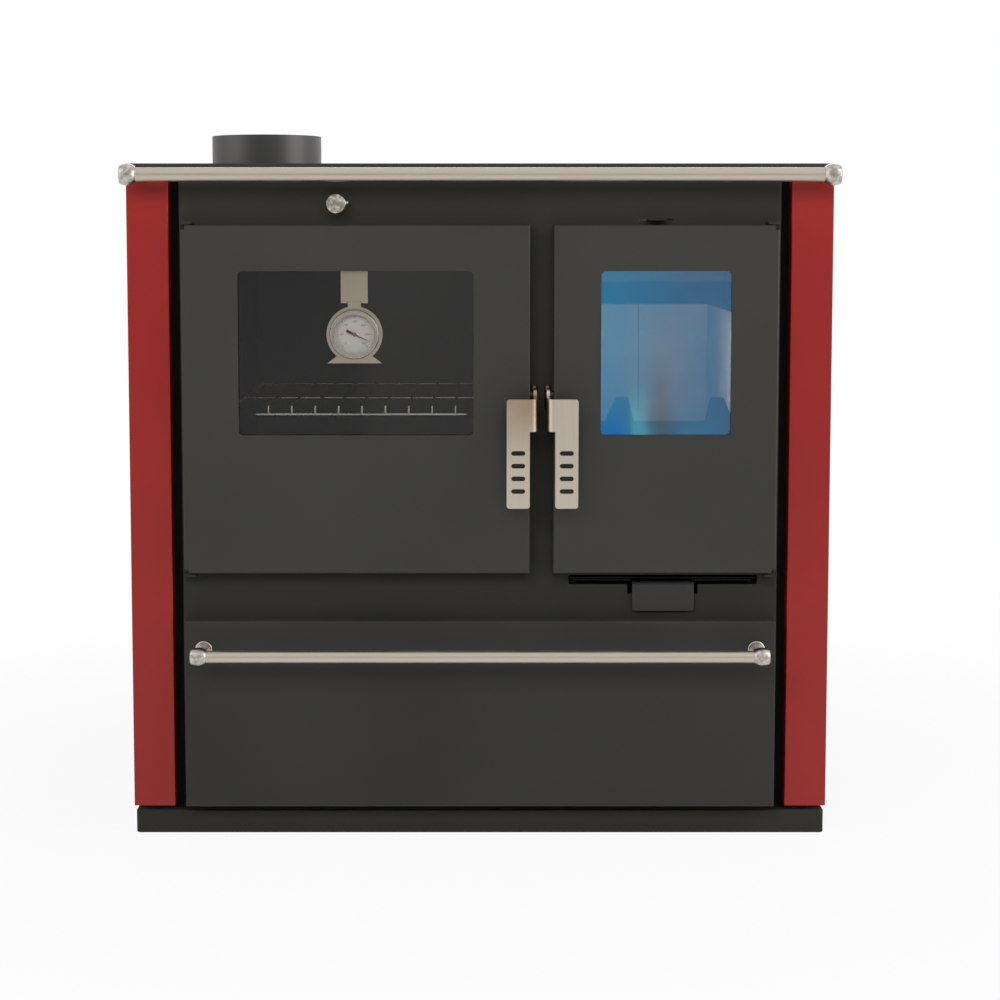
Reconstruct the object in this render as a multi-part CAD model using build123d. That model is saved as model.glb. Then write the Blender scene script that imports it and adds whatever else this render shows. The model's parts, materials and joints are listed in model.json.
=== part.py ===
from build123d import *
from math import cos, radians, sin
import os

os.makedirs("parts", exist_ok=True)

# All sizes are in millimetres. The stove stands on z = 0 and its front faces -y.
# Depths are counted from the face of the front plate: minus is towards the cook, plus is into the stove.

# Body
body_width = 882
body_height = 850
body_depth = 560
cooktop_sheet = 8
plinth_inset = 2
plinth_height = 29.5
plinth_sheet = 2
plinth_corner = 6
plinth_flange = 55
plinth_rear_setback = 12
panel_gap_over_plinth = 5.5
column_width = 52.5
column_return = 25
panel_sheet = 1.5
panel_flange = 18
groove_width = 12.8
front_sheet = 3
front_return = 27
front_bend = 3
casing_inset = 35
casing_sheet = 2
casing_flange = 34
rear_sheet = 1.5
rear_clearance = 0.6
screw_head_d = 9
screw_head_h = 2.4
screw_shank_d = 5
screw_reach = 6
vent_rows = 6
vent_columns = 7
vent_pitch_x = 72
vent_pitch_z = 20
vent_length = 52
vent_height = 6
vents_over_base = 90

# Doors
door_edge_margin = 5
doors_over_drawer = 60.1
doors_below_top = 76.6
door_reach = 25
door_gap = 3
door_sheet = 3
door_bend = 3
oven_door_width = 433
doors_apart = 29
window_drop = 56.6
window_height = 204
oven_window_side = 70.5
fire_window_side = 59
window_corner = 6
glass_sheet = 4
glass_lap = 14
clip_width = 42
clip_sheet = 2
clip_lap = 8
clip_gap = 0.5
liner_sheet = 2
rope_d = 9
rope_gap = 0.3
rope_offset = 8
rope_corner = 12
rib_height = 4
rib_sheet = 1.5
hinge_inset = 7
hinge_depth = 10
hinge_pin_d = 6
hinge_play = 0.05
hinge_tab_sheet = 3
hinge_tab_width = 14
hinge_tab_gap = 1.5
hinge_washer_play = 0.3
lug_height = 20
lug_width = 12
notch_width = 5.5
notch_height = 5.5

# Lever handles and their catch
lever_sheet = 4
lever_apart = 12.4
lever_width = 28.4
lever_length = 135
lever_reach = 33
lever_shoulder = 40
lever_bend = 8
lever_inner_bend = 4
lever_step = 9.5
lever_corner = 3.5
lever_slot_length = 17.2
lever_slot_height = 5.7
lever_slot_pitch = 15.7
lever_slot_count = 4
lever_slot_end = 21.4
pivot_rise = 223.6
pivot_depth = 11
pivot_over_lever = 1.8
pivot_d = 8
pivot_head_d = 10.4
pivot_cap_d = 10.4
pivot_cap_h = 0.9
pivot_nut_h = 5
pivot_play = 0.05
pivot_side_gap = 0.1
lever_eye_r = 9
lever_arm_drop = 6
lever_arm_rise = 4
hook_reach = 16
hook_width = 6
hook_height = 9.5
keeper_sheet = 6
keeper_height = 18
catch_slot_rise = 10.5
catch_slot_height = 28
catch_slot_play = 2

# Oven
oven_side_in_door = 43.5
oven_over_door_foot = 41.6
oven_under_door_top = 37.4
oven_depth = 460
oven_sheet = 2
oven_flange = 12
oven_leg_width = 30
runner_start = 82
runner_width = 12
runner_sheet = 2
runner_height = 12
runner_pitch = 80
rack_from_middle = 2
rack_rise = 160.5
rack_front_drop = 8.5
rack_front = 47
rack_rear_gap = 8
rack_side_gap = 5.5
rack_corner = 28.5
rack_middle = 0.385
rack_frame_d = 5
rack_cross_d = 4
rack_cross_drop = 0.2
rack_wire_d = 3.5
rack_bend = 12
rack_wire_bend = 3
rack_wires_aside = 1.5
rack_wire_pitch = 30
rack_wire_count = 9
rack_play = 0.3

# Oven thermometer, hung behind the oven window
thermo_from_middle = 2.3
thermo_below_window_top = 79
bezel_d = 62
bezel_lip = 6.5
bezel_depth = 6
case_d = 56
case_depth = 12.5
case_wall = 1
dial_sheet = 1
dial_set_back = 7
pointer_length = 18
pointer_tail = 9.5
pointer_width = 2.4
pointer_sheet = 0.6
pointer_turn = 26
spindle_d = 2.5
spindle_play = 0.05
thermo_glass_sheet = 1.5
strap_width = 33.4
strap_sheet = 1.5
strap_over_stand = 3.8
strap_lap = 16
strap_hook_height = 7
strap_hook_depth = 7
strap_notch = 17.6
neck_width = 16.4
neck_play = 0.8
stand_sheet = 1.2
stand_d = 70
foot_width = 68.4
foot_waist = 44
foot_height = 9.2
foot_drop = 1.2

# Firebox
fire_side_in_door = 26.7
fire_over_door_foot = 17.6
fire_under_door_top = 21.4
firebox_step = 16
firebox_sheet = 3
firebox_depth = 430
ledge_rise = 99
ledge_width = 41
brick_height = 205
brick_sheet = 27
brick_joint = 0.5
brick_corner = 1.5
grate_sheet = 10
grate_play = 1
grate_bar_pitch = 18
grate_slot_width = 9
guard_sheet = 8
guard_depth = 10
guard_height = 72
guard_ear = 30
guard_ear_width = 16
guard_ear_reach = 60
guard_ears_aside = 8
guard_ear_outer_slope = 13
guard_ear_inner_slope = 7
guard_margin = 3
smoke_floor_drop = 38.4
smoke_passage_behind = 27
gas_passage = 8
ash_sheet = 2
ash_pan_side_gap = 19
ash_pan_depth = 360
ash_pan_height = 70
ash_pan_front = 25
ash_pan_sheet = 1.5
ash_pan_lip = 12
pan_play = 0.3

# Primary air
air_slot_inset = 6.75
air_slot_below_door = 17.4
air_slot_height = 12
air_notch_width = 89
air_notch_depth = 12.3
slide_margin = 5
slide_rise = 2.3
slide_sheet = 2
slide_front = 12
slide_length = 148
slide_play = 0.3
port_width = 140
port_length = 34
port_start = 60
port_overlap = 6
tab_width = 78
tab_reach = 7
tab_bend = 6
tab_drop = 33

# Secondary air
shutter_from_middle = 11.7
shutter_tab_width = 24
shutter_tab_reach = 20
shutter_over_door = 6.6
shutter_sheet = 1.5
shutter_width = 62
shutter_height = 20
shutter_slit_width = 42
shutter_slit_height = 2.1
shutter_play = 0.3

# Start-up damper
damper_from_middle = 23.8
damper_over_door = 26.3
rod_d = 8
rod_play = 0.05
bush_d = 16
bush_rim = 2
bush_length = 12
knob_d = 24
knob_length = 15
knob_gap = 12
knob_pin_d = 3.4
knob_pin_rise = 1.6
knob_pin_reach = 3.2
flue_box_before_flue = 95
flue_box_beside_rod = 40
flue_box_sheet = 2
bypass_left = 46
bypass_right = 26
bypass_height = 60
damper_plate_margin = 9
damper_plate_sheet = 4
damper_play = 0.3

# Flue collar
flue_from_side = 137.6
flue_depth = 385
flue_outer_d = 155
flue_bore_d = 151
flue_height = 49.5
flue_ledge_d = 140
flue_ledge_h = 3
flue_flange_d = 180
flue_flange_sheet = 3
flue_play = 0.3
flue_screw_count = 4

# Cooking ring
ring_depth = 205
ring_d = 240
ring_hole_d = 130
ring_step = 6
ring_play = 0.5
ring_lift_play = 0.3
lid_slot_length = 24
lid_slot_width = 9
lid_slot_depth = 4

# Top rail
rail_below_top = 15
rail_d = 17.5
rail_reach = 45
rail_ball_d = 27
rail_ball_outward = 10.5
rail_ball_inward = 9.5
rail_ball_face_d = 22
rail_ball_corner = 2
rail_ball_step = 0.6
rail_post_d = 10
rail_post_inset = 10.5
rail_rosette_d = 18
rail_rosette_sheet = 3
rosette_groove = 2
rosette_rim = 3
ball_flat = 0.92
rail_socket = 3

# Drawer
drawer_over_plinth = 11
drawer_front_height = 237.8
drawer_front_margin = 4
drawer_box_inset = 21.7
drawer_box_over_foot = 13.5
drawer_box_under_top = 28.3
drawer_box_rear_gap = 58.5
drawer_box_sheet = 1.5
drawer_opening_play = 8
drawer_rail_drop = 35.8
drawer_rail_d = 15.3
drawer_rail_reach = 45
drawer_ball_d = 23.2
drawer_ball_outward = 10.5
drawer_ball_inward = 9
drawer_ball_face_d = 18.8
drawer_post_inset = 24.8
drawer_post_d = 9
drawer_rosette_d = 22
guide_shelf = 20
guide_sheet = 2
guide_lip = 9
guide_play = 0.3
guide_side_play = 4

# Places and sizes worked out from the ones above
front_reach = door_reach + drawer_rail_reach + drawer_ball_d / 2
rear_reach = body_depth + screw_head_h
face_y = (front_reach - rear_reach) / 2
half_body = body_width / 2
half_casing = half_body - casing_inset
half_front = half_body - column_width - groove_width
under_top = body_height - cooktop_sheet
panel_bottom = plinth_height + panel_gap_over_plinth
casing_bottom = plinth_height + casing_sheet
inner_depth = body_depth - rear_sheet
drawer_bottom = plinth_height + drawer_over_plinth
drawer_top = drawer_bottom + drawer_front_height
half_drawer_front = half_front - drawer_front_margin
half_drawer_box = half_drawer_front - drawer_box_inset
drawer_box_bottom = drawer_bottom + drawer_box_over_foot
drawer_box_top = drawer_top - drawer_box_under_top
drawer_box_depth = inner_depth - drawer_box_rear_gap
drawer_rail_z = drawer_top - drawer_rail_drop
drawer_post_x = half_drawer_front - drawer_post_inset
door_bottom = drawer_top + doors_over_drawer
door_top = body_height - doors_below_top
half_doors = half_front - door_edge_margin
oven_door_right = oven_door_width - half_doors
fire_door_left = oven_door_right + doors_apart
oven_x = (oven_door_right - half_doors) / 2
fire_x = (fire_door_left + half_doors) / 2
apart_x = (oven_door_right + fire_door_left) / 2
oven_window_width = oven_door_width - 2 * oven_window_side
fire_window_width = half_doors - fire_door_left - 2 * fire_window_side
window_top = door_top - window_drop
window_bottom = window_top - window_height
oven_width = oven_door_width - 2 * oven_side_in_door
oven_bottom = door_bottom + oven_over_door_foot
oven_top = door_top - oven_under_door_top
rack_z = oven_bottom + rack_rise
rack_width = oven_width - 2 * rack_side_gap
rack_front_width = rack_width - 2 * rack_corner
rack_length = front_sheet + oven_depth - rack_rear_gap - rack_front
fire_opening_width = half_doors - fire_door_left - 2 * fire_side_in_door
fire_opening_bottom = door_bottom + fire_over_door_foot
fire_opening_top = door_top - fire_under_door_top
half_fire_inside = fire_opening_width / 2 + firebox_step - firebox_sheet
half_firebox = half_fire_inside + firebox_sheet
ledge_z = fire_opening_bottom + ledge_rise
brick_top = ledge_z + brick_height
guard_top = ledge_z + guard_height
guard_ear_top = guard_top + guard_ear
ash_floor_z = fire_opening_bottom - ash_sheet
ash_pan_width = fire_opening_width - 2 * ash_pan_side_gap
smoke_floor_z = door_bottom - smoke_floor_drop
smoke_back_depth = front_sheet + oven_depth + smoke_passage_behind
air_slot_width = 2 * (half_fire_inside - air_slot_inset)
air_slot_bottom = door_bottom - air_slot_below_door
air_slot_top = air_slot_bottom + air_slot_height
slide_z = air_slot_bottom + slide_rise
tab_bottom = air_slot_bottom - tab_drop
shutter_tab_x = fire_x - shutter_from_middle
shutter_tab_z = door_top + shutter_over_door
damper_x = oven_x - damper_from_middle
damper_z = door_top + damper_over_door
flue_x = flue_from_side - half_body
flue_box_front = flue_depth - flue_box_before_flue
flue_box_right = damper_x + flue_box_beside_rod
pivot_z = door_bottom + pivot_rise
lever_top = pivot_z - pivot_over_lever
thermo_x = oven_x - thermo_from_middle
thermo_z = window_top - thermo_below_window_top
strap_bottom = thermo_z + stand_d / 2 + strap_over_stand
rail_z = body_height - rail_below_top


def back(depth):
    """The y of a depth behind the face of the front plate."""
    return face_y + depth


def slab(x0, x1, d0, d1, z0, z1):
    """A box between two x, two depths and two heights."""
    centre = Pos((x0 + x1) / 2, back((d0 + d1) / 2), (z0 + z1) / 2)
    return centre * Box(abs(x1 - x0), abs(d1 - d0), abs(z1 - z0))


def rod_x(x0, x1, depth, z, radius):
    return Pos((x0 + x1) / 2, back(depth), z) * Rot(0, 90, 0) * Cylinder(radius, abs(x1 - x0))


def rod_y(x, d0, d1, z, radius):
    return Pos(x, back((d0 + d1) / 2), z) * Rot(90, 0, 0) * Cylinder(radius, abs(d1 - d0))


def rod_z(x, depth, z0, z1, radius):
    return Pos(x, back(depth), (z0 + z1) / 2) * Cylinder(radius, abs(z1 - z0))


def front_plane(x, depth, z):
    """A plane parallel to the front plate, with its normal into the stove."""
    return Plane(origin=(x, back(depth), z), x_dir=(1, 0, 0), z_dir=(0, 1, 0))


def rounded_plate(x0, x1, d0, d1, z0, z1, radius):
    """A plate parallel to the front with rounded corners."""
    outline = RectangleRounded(x1 - x0, z1 - z0, radius)
    return extrude(front_plane((x0 + x1) / 2, d0, (z0 + z1) / 2) * outline, d1 - d0)


def frame_ring(around, d0, d1, inside, outside):
    """A ring with rounded corners, from inside to outside beyond an opening's edges."""
    x0, x1, z0, z1 = around
    corner = rope_corner - rope_offset
    ring = rounded_plate(x0 - outside, x1 + outside, d0, d1, z0 - outside, z1 + outside,
                         corner + outside)
    return ring - rounded_plate(x0 - inside, x1 + inside, d0 - 1, d1 + 1, z0 - inside,
                                z1 + inside, corner + inside)


def side_profile(x0, x1, points):
    """A plate in the side view: points are pairs of depth and height."""
    outline = make_face(Polyline(*[(0, back(d), z) for d, z in points], close=True))
    return Pos(x0, 0, 0) * extrude(outline, x1 - x0, dir=(1, 0, 0))


def front_profile(d0, d1, points):
    """A plate in the front view: points are pairs of x and height."""
    outline = make_face(Polyline(*[(x, back(d0), z) for x, z in points], close=True))
    return extrude(outline, d1 - d0, dir=(0, 1, 0))


def bent_wire(points, bend, radius):
    """One round wire through points of x, depth and height, with bends of one radius."""
    turns = [(x, back(d), z) for x, d, z in points]
    path = FilletPolyline(*turns, radius=bend)
    return sweep(Plane(origin=path @ 0, z_dir=path % 0) * Circle(radius), path)


def tray(x0, x1, d0, d1, z0, z1, sheet, bend):
    """A folded sheet front, open at the back, with rounded front edges."""
    block = slab(x0, x1, d0, d1, z0, z1)
    block = fillet(block.faces().sort_by(Axis.Y)[0].edges(), bend)
    return block - slab(x0 + sheet, x1 - sheet, d0 + sheet, d1 + 1, z0 + sheet, z1 - sheet)


def solids_of(parts):
    return Compound([solid for part in parts for solid in part.solids()])


def mirrored(shape):
    """The same piece on the other side of the stove."""
    return mirror(shape, about=Plane.YZ)


# Body

def make_plinth():
    half, rear = half_body - plinth_inset, body_depth - plinth_rear_setback
    skirt = slab(-half, half, 0, rear, 0, plinth_height)
    skirt = fillet(skirt.edges().filter_by(Axis.Z), plinth_corner)
    skirt = fillet(skirt.faces().sort_by(Axis.Z)[-1].edges(), plinth_sheet)
    s = plinth_sheet
    inside = slab(-half + s, half - s, s, rear - s, -1, plinth_height - s)
    skirt -= fillet(inside.edges().filter_by(Axis.Z), plinth_corner - s)
    f = plinth_flange
    return skirt - slab(-half + f, half - f, f, rear - f, 0, plinth_height + 1)


def make_base_panel():
    return slab(-half_casing, half_casing, front_sheet, inner_depth, plinth_height, casing_bottom)


def make_casing_sides():
    front, rear = front_return, inner_depth
    side = slab(half_casing - casing_sheet, half_casing, front, rear, casing_bottom, under_top)
    for start in (front, rear - casing_sheet):
        side += slab(half_casing - casing_flange, half_casing, start, start + casing_sheet,
                     casing_bottom, under_top)
    for z in rear_screw_heights():
        side -= rod_y(rear_screw_x(), rear - screw_reach, rear + 1, z, screw_shank_d / 2)
    return solids_of([side, mirrored(side)])


def make_side_panel():
    """The right panel: a skin folded round to a front column, with flanges to the casing."""
    inner_x, outer_x, s = half_body - column_width, half_body, panel_sheet
    skin = slab(inner_x, outer_x, 0, body_depth, panel_bottom, under_top)
    skin = fillet(skin.edges().filter_by(Axis.Z).group_by(Axis.Y)[0], s)
    skin -= slab(inner_x + s, outer_x - s, s, body_depth + 1, panel_bottom + s, under_top - s)
    skin -= slab(inner_x - 1, half_casing, column_return, body_depth + 1, panel_bottom - 1,
                 under_top + 1)
    rear = slab(outer_x - panel_flange, outer_x - s, inner_depth - s, inner_depth,
                panel_bottom + s, under_top - s)
    skin -= slab(half_casing - 1, outer_x - s, inner_depth, body_depth + 1, panel_bottom - 1,
                 under_top + 1)
    return skin + rear


def make_front_plate():
    plate = slab(-half_front, half_front, 0, front_return, panel_bottom, under_top)
    plate = fillet(plate.edges().filter_by(Axis.Z).group_by(Axis.Y)[0], front_bend)
    s = front_sheet
    plate -= slab(-half_front + s, half_front - s, s, front_return + 1, panel_bottom - 1,
                  under_top + 1)
    half_oven, half_fire = oven_width / 2, fire_opening_width / 2
    plate -= slab(oven_x - half_oven, oven_x + half_oven, -1, s + 1, oven_bottom, oven_top)
    plate -= slab(fire_x - half_fire, fire_x + half_fire, -1, s + 1, fire_opening_bottom,
                  fire_opening_top)
    plate -= rounded_plate(fire_x - air_slot_width / 2, fire_x + air_slot_width / 2, -1, s + 1,
                           air_slot_bottom, air_slot_top, 2)
    plate -= slab(fire_x - air_notch_width / 2, fire_x + air_notch_width / 2, -1, s + 1,
                  air_slot_bottom - air_notch_depth, air_slot_top - 2)
    half_drawer = half_drawer_box + drawer_opening_play
    plate -= slab(-half_drawer, half_drawer, -1, s + 1, drawer_box_bottom - drawer_opening_play,
                  drawer_box_top + drawer_opening_play)
    slot = slab(catch_slot_x(), lever_outer_x() + catch_slot_play, -1, s + 1,
                catch_slot_top() - catch_slot_height, catch_slot_top())
    plate -= slot
    plate -= other_side(slot)
    plate -= rod_y(damper_x, -1, s + 1, damper_z, bush_d / 2 - bush_rim)
    plate -= slab(shutter_tab_x - shutter_slit_width / 2, shutter_tab_x + shutter_slit_width / 2,
                  -1, s + 1, shutter_tab_z - shutter_slit_height / 2,
                  shutter_tab_z + shutter_slit_height / 2)
    return plate + make_shutter_guides()


def make_shutter_guides():
    """Two folded strips behind the front plate that hold the secondary-air shutter."""
    half = shutter_width / 2 + shutter_slit_width / 2
    x0, x1 = shutter_tab_x - half, shutter_tab_x + half
    near, far = front_sheet, front_sheet + 2 * shutter_play + 2 * shutter_sheet
    strips = None
    for side in (-1, 1):
        edge = shutter_tab_z + side * (shutter_height / 2 + shutter_play)
        foot = slab(x0, x1, near, far, edge, edge + side * 2 * shutter_sheet)
        lip = slab(x0, x1, far - shutter_sheet, far, edge - side * 2 * shutter_sheet, edge)
        strips = foot + lip if strips is None else strips + foot + lip
    return strips


def rear_screw_x():
    return half_casing - casing_flange / 2


def rear_screw_heights():
    span = under_top - casing_bottom
    return [casing_bottom + span * share for share in (0.06, 0.28, 0.5, 0.72, 0.94)]


def make_rear_panel():
    half = half_body - panel_sheet - rear_clearance
    panel = slab(-half, half, inner_depth, body_depth, panel_bottom, under_top)
    for z in rear_screw_heights():
        for side in (-1, 1):
            panel -= rod_y(side * rear_screw_x(), inner_depth - 1, body_depth + 1, z,
                           screw_shank_d / 2)
    for row in range(vent_rows):
        z = plinth_height + vents_over_base + row * vent_pitch_z
        for column in range(vent_columns):
            x = (column - (vent_columns - 1) / 2) * vent_pitch_x
            panel -= slab(x - vent_length / 2, x + vent_length / 2, inner_depth - 1,
                          body_depth + 1, z, z + vent_height)
    return panel


def make_body_screws():
    screws = []
    for z in rear_screw_heights():
        for side in (-1, 1):
            head = rod_y(side * rear_screw_x(), body_depth, rear_reach, z, screw_head_d / 2)
            shank = rod_y(side * rear_screw_x(), inner_depth - screw_reach, body_depth, z,
                          screw_shank_d / 2)
            screws.append(head + shank)
    for x, depth in flue_screw_places():
        head_z = body_height - flue_flange_sheet
        head = rod_z(x, depth, head_z, body_height, screw_head_d / 2)
        shank_z = under_top - flue_flange_sheet
        screws.append(head + rod_z(x, depth, shank_z, head_z, screw_shank_d / 2))
    return solids_of(screws)


# Cooktop, flue collar and rings

def flue_screw_places():
    """Screws through the cooktop into the collar's flange, outside the collar's wall."""
    radius = (flue_outer_d + flue_flange_d) / 4
    turns = [radians(45 + 360 * n / flue_screw_count) for n in range(flue_screw_count)]
    return [(flue_x + radius * cos(a), flue_depth + radius * sin(a)) for a in turns]


def make_cooktop():
    plate = slab(-half_body, half_body, 0, body_depth, under_top, body_height)
    plate = fillet(plate.edges().filter_by(Axis.Z), 4)
    plate -= rod_z(flue_x, flue_depth, under_top - 1, body_height + 1,
                   flue_outer_d / 2 + flue_play)
    for x, depth in flue_screw_places():
        plate -= rod_z(x, depth, under_top - 1, body_height + 1, screw_shank_d / 2)
        plate -= rod_z(x, depth, body_height - flue_flange_sheet, body_height + 1,
                       screw_head_d / 2)
    middle = under_top + cooktop_sheet / 2
    plate -= rod_z(fire_x, ring_depth, middle, body_height + 1, ring_d / 2)
    return plate - rod_z(fire_x, ring_depth, under_top - 1, middle, ring_d / 2 - ring_step)


def stepped_disc(outer_d, play):
    """A disc with a rim that sits in a stepped hole of the cooktop."""
    middle = under_top + cooktop_sheet / 2 + ring_lift_play
    rim = rod_z(fire_x, ring_depth, middle, body_height, outer_d / 2 - play)
    return rim + rod_z(fire_x, ring_depth, under_top, middle, outer_d / 2 - ring_step - play)


def make_hob_ring():
    middle = under_top + cooktop_sheet / 2
    ring = stepped_disc(ring_d, ring_play)
    ring -= rod_z(fire_x, ring_depth, middle, body_height + 1, ring_hole_d / 2)
    return ring - rod_z(fire_x, ring_depth, under_top - 1, middle, ring_hole_d / 2 - ring_step)


def make_hob_lid():
    lid = stepped_disc(ring_hole_d, ring_play)
    start = ring_depth + ring_hole_d / 4
    return lid - slab(fire_x - lid_slot_width / 2, fire_x + lid_slot_width / 2,
                      start, start + lid_slot_length, body_height - lid_slot_depth,
                      body_height + 1)


def make_flue_collar():
    top, foot = body_height + flue_height, under_top - flue_flange_sheet
    collar = rod_z(flue_x, flue_depth, foot, top, flue_outer_d / 2)
    collar += rod_z(flue_x, flue_depth, foot, under_top, flue_flange_d / 2)
    ledge_top = under_top + flue_ledge_h
    collar -= rod_z(flue_x, flue_depth, ledge_top, top + 1, flue_bore_d / 2)
    collar -= rod_z(flue_x, flue_depth, foot - 1, ledge_top, flue_ledge_d / 2)
    for x, depth in flue_screw_places():
        collar -= rod_z(x, depth, foot - 1, under_top + 1, screw_shank_d / 2)
    return collar


# Top rail and drawer rail, both held by ball ends on posts

def make_tube(half_length, depth, z, diameter):
    return rod_x(-half_length, half_length, depth, z, diameter / 2)


def make_ball_ends(post_x, depth, z, ball_d, outward, inward, face_d, tube_d, post_d):
    """Two barrel-shaped ends, turned about the rail, socketed for the tube and the post."""
    radius, foot = ball_d / 2, tube_d / 2 + rail_ball_step
    middle = Plane(origin=(post_x, back(depth), z), x_dir=(1, 0, 0), z_dir=(0, -1, 0))
    inner = TangentArc((0, radius), (-inward, foot), tangent=(-1, 0))
    outer = TangentArc((0, radius), (outward, face_d / 2), tangent=(1, 0))
    rest = Polyline((outward, face_d / 2), (outward, 0), (-inward, 0), (-inward, foot))
    half_section = make_face([inner, outer, rest])
    ball = revolve(middle * half_section, Axis((post_x, back(depth), z), (1, 0, 0)))
    ball = fillet(ball.faces().sort_by(Axis.X)[-1].edges(), rail_ball_corner)
    ball -= slab(post_x - radius, post_x + radius, depth + radius * ball_flat, depth + radius + 1,
                 z - radius, z + radius)
    ball -= rod_x(post_x - radius - 1, post_x - rail_socket, depth, z, tube_d / 2)
    ball -= rod_y(post_x, depth + radius - rail_socket, depth + radius + 1, z, post_d / 2)
    return solids_of([ball, mirrored(ball)])


def make_brackets(post_x, depth, foot, z, post_d, rosette_d, ball_d):
    """Two posts with a rosette each, between a face at foot and the balls."""
    rosette = rod_y(post_x, foot - rail_rosette_sheet, foot, z, rosette_d / 2)
    rim = rosette.faces().sort_by(Axis.Y)[0].edges()
    rosette = fillet(rim, rail_rosette_sheet * 0.45)
    rosette -= rod_y(post_x, foot - rail_rosette_sheet - 1, foot - rail_rosette_sheet
                     + rosette_groove, z, rosette_d / 2 - rosette_rim)
    rosette -= rod_y(post_x, foot - rail_rosette_sheet - 1, foot + 1, z, post_d / 2)
    post = rod_y(post_x, depth + ball_d / 2 - rail_socket, foot, z, post_d / 2)
    return solids_of([rosette, post, mirrored(rosette), mirrored(post)])


def top_rail_post_x():
    return half_body - rail_post_inset


def make_top_rail():
    return make_tube(top_rail_post_x() - rail_socket, -rail_reach, rail_z, rail_d)


def make_top_rail_ends():
    return make_ball_ends(top_rail_post_x(), -rail_reach, rail_z, rail_ball_d,
                          rail_ball_outward, rail_ball_inward, rail_ball_face_d, rail_d,
                          rail_post_d)


def make_top_rail_brackets():
    return make_brackets(top_rail_post_x(), -rail_reach, 0, rail_z, rail_post_d, rail_rosette_d,
                         rail_ball_d)


def drawer_rail_depth():
    return -door_reach - drawer_rail_reach


def make_drawer_rail():
    return make_tube(drawer_post_x - rail_socket, drawer_rail_depth(), drawer_rail_z,
                     drawer_rail_d)


def make_drawer_rail_ends():
    return make_ball_ends(drawer_post_x, drawer_rail_depth(), drawer_rail_z, drawer_ball_d,
                          drawer_ball_outward, drawer_ball_inward, drawer_ball_face_d,
                          drawer_rail_d, drawer_post_d)


def make_drawer_rail_brackets():
    return make_brackets(drawer_post_x, drawer_rail_depth(), -door_reach, drawer_rail_z,
                         drawer_post_d, drawer_rosette_d, drawer_ball_d)


# Drawer

def make_drawer_front():
    half = half_drawer_front
    return tray(-half, half, -door_reach, -door_gap, drawer_bottom, drawer_top, door_sheet,
                door_bend)


def make_drawer_box():
    half, s = half_drawer_box, drawer_box_sheet
    front, rear = door_sheet - door_reach, drawer_box_depth
    top = drawer_box_top
    box = slab(-half, half, front, rear, drawer_box_bottom, top)
    return box - slab(-half + s, half - s, front + s, rear - s, drawer_box_bottom + s, top + 1)


def make_drawer_guides():
    """Two folded guides on the base panel: a shelf under the box and a lip beside it."""
    lip_x = half_drawer_box + guide_side_play
    shelf_top = drawer_box_bottom - guide_play
    start, end, s = front_sheet + 2, inner_depth - 2, guide_sheet
    guide = slab(lip_x, lip_x + s, start, end, casing_bottom, drawer_box_bottom + guide_lip)
    guide += slab(lip_x - guide_shelf, lip_x, start, end, shelf_top - s, shelf_top)
    guide += slab(lip_x - guide_shelf, lip_x, start, end, casing_bottom, casing_bottom + s)
    return solids_of([guide, mirrored(guide)])


# Oven

def make_oven_box():
    x0, x1, s = oven_x - oven_width / 2, oven_x + oven_width / 2, oven_sheet
    near, far = front_sheet, front_sheet + oven_depth
    box = slab(x0 - s, x1 + s, near, far + s, oven_bottom - s, oven_top + s)
    box += slab(x0 - oven_flange, x1 + oven_flange, near, near + s, oven_bottom - oven_flange,
                oven_top + oven_flange)
    box -= slab(x0, x1, near - 1, far, oven_bottom, oven_top)
    for x in (x0 - s, x1 + s - oven_leg_width):
        box += slab(x, x + oven_leg_width, far, far + s, smoke_floor_z + casing_sheet,
                    oven_bottom)
    return box


def runner_top():
    return rack_z - rack_frame_d / 2 - rack_play


def make_oven_runners():
    wall = oven_x + oven_width / 2
    near, far = front_sheet + runner_start, front_sheet + oven_depth - 15
    runners = []
    for level in (-1, 0, 1):
        top = runner_top() + level * runner_pitch
        shelf = slab(wall - runner_width, wall, near, far, top - runner_sheet, top)
        leg = slab(wall - runner_sheet, wall, near, far, top - runner_height, top)
        right = shelf + leg
        left = mirror(right, about=Plane(origin=(oven_x, 0, 0), z_dir=(1, 0, 0)))
        runners += [left, right]
    return solids_of(runners)


def make_oven_rack():
    half, half_front_wire = rack_width / 2, rack_front_width / 2
    near, rear = rack_front, rack_front + rack_length
    corner = near + half - half_front_wire
    middle, z, r = oven_x + rack_from_middle, rack_z, rack_cross_d / 2
    end, low = rear + rack_frame_d, rack_z - rack_front_drop
    rack = bent_wire([(middle - half, end, z), (middle - half, corner, z),
                      (middle - half_front_wire, near, low), (middle + half_front_wire, near, low),
                      (middle + half, corner, z), (middle + half, end, z)],
                     rack_bend, rack_frame_d / 2)
    for depth in (near + rack_length * rack_middle, rear):
        rack += rod_x(middle - half, middle + half, depth, z - rack_cross_drop, r)
    over = z + (rack_frame_d + rack_wire_d) / 2 - 1
    first = middle + rack_wires_aside - rack_wire_pitch * (rack_wire_count - 1) / 2
    for n in range(rack_wire_count):
        x = first + n * rack_wire_pitch
        rack += bent_wire([(x, rear + r, over), (x, near, over), (x, near, low)],
                          rack_wire_bend, rack_wire_d / 2)
    return rack


# Doors: each is built from its edges, its hinge side and the opening that it closes

def door_edges(which):
    """The left and right x of a door, the x of its hinge edge and of its free edge."""
    if which == "oven":
        return -half_doors, oven_door_right, -half_doors, oven_door_right
    return fire_door_left, half_doors, half_doors, fire_door_left


def door_window(which):
    width = oven_window_width if which == "oven" else fire_window_width
    centre = oven_x if which == "oven" else fire_x
    return centre - width / 2, centre + width / 2


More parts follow.
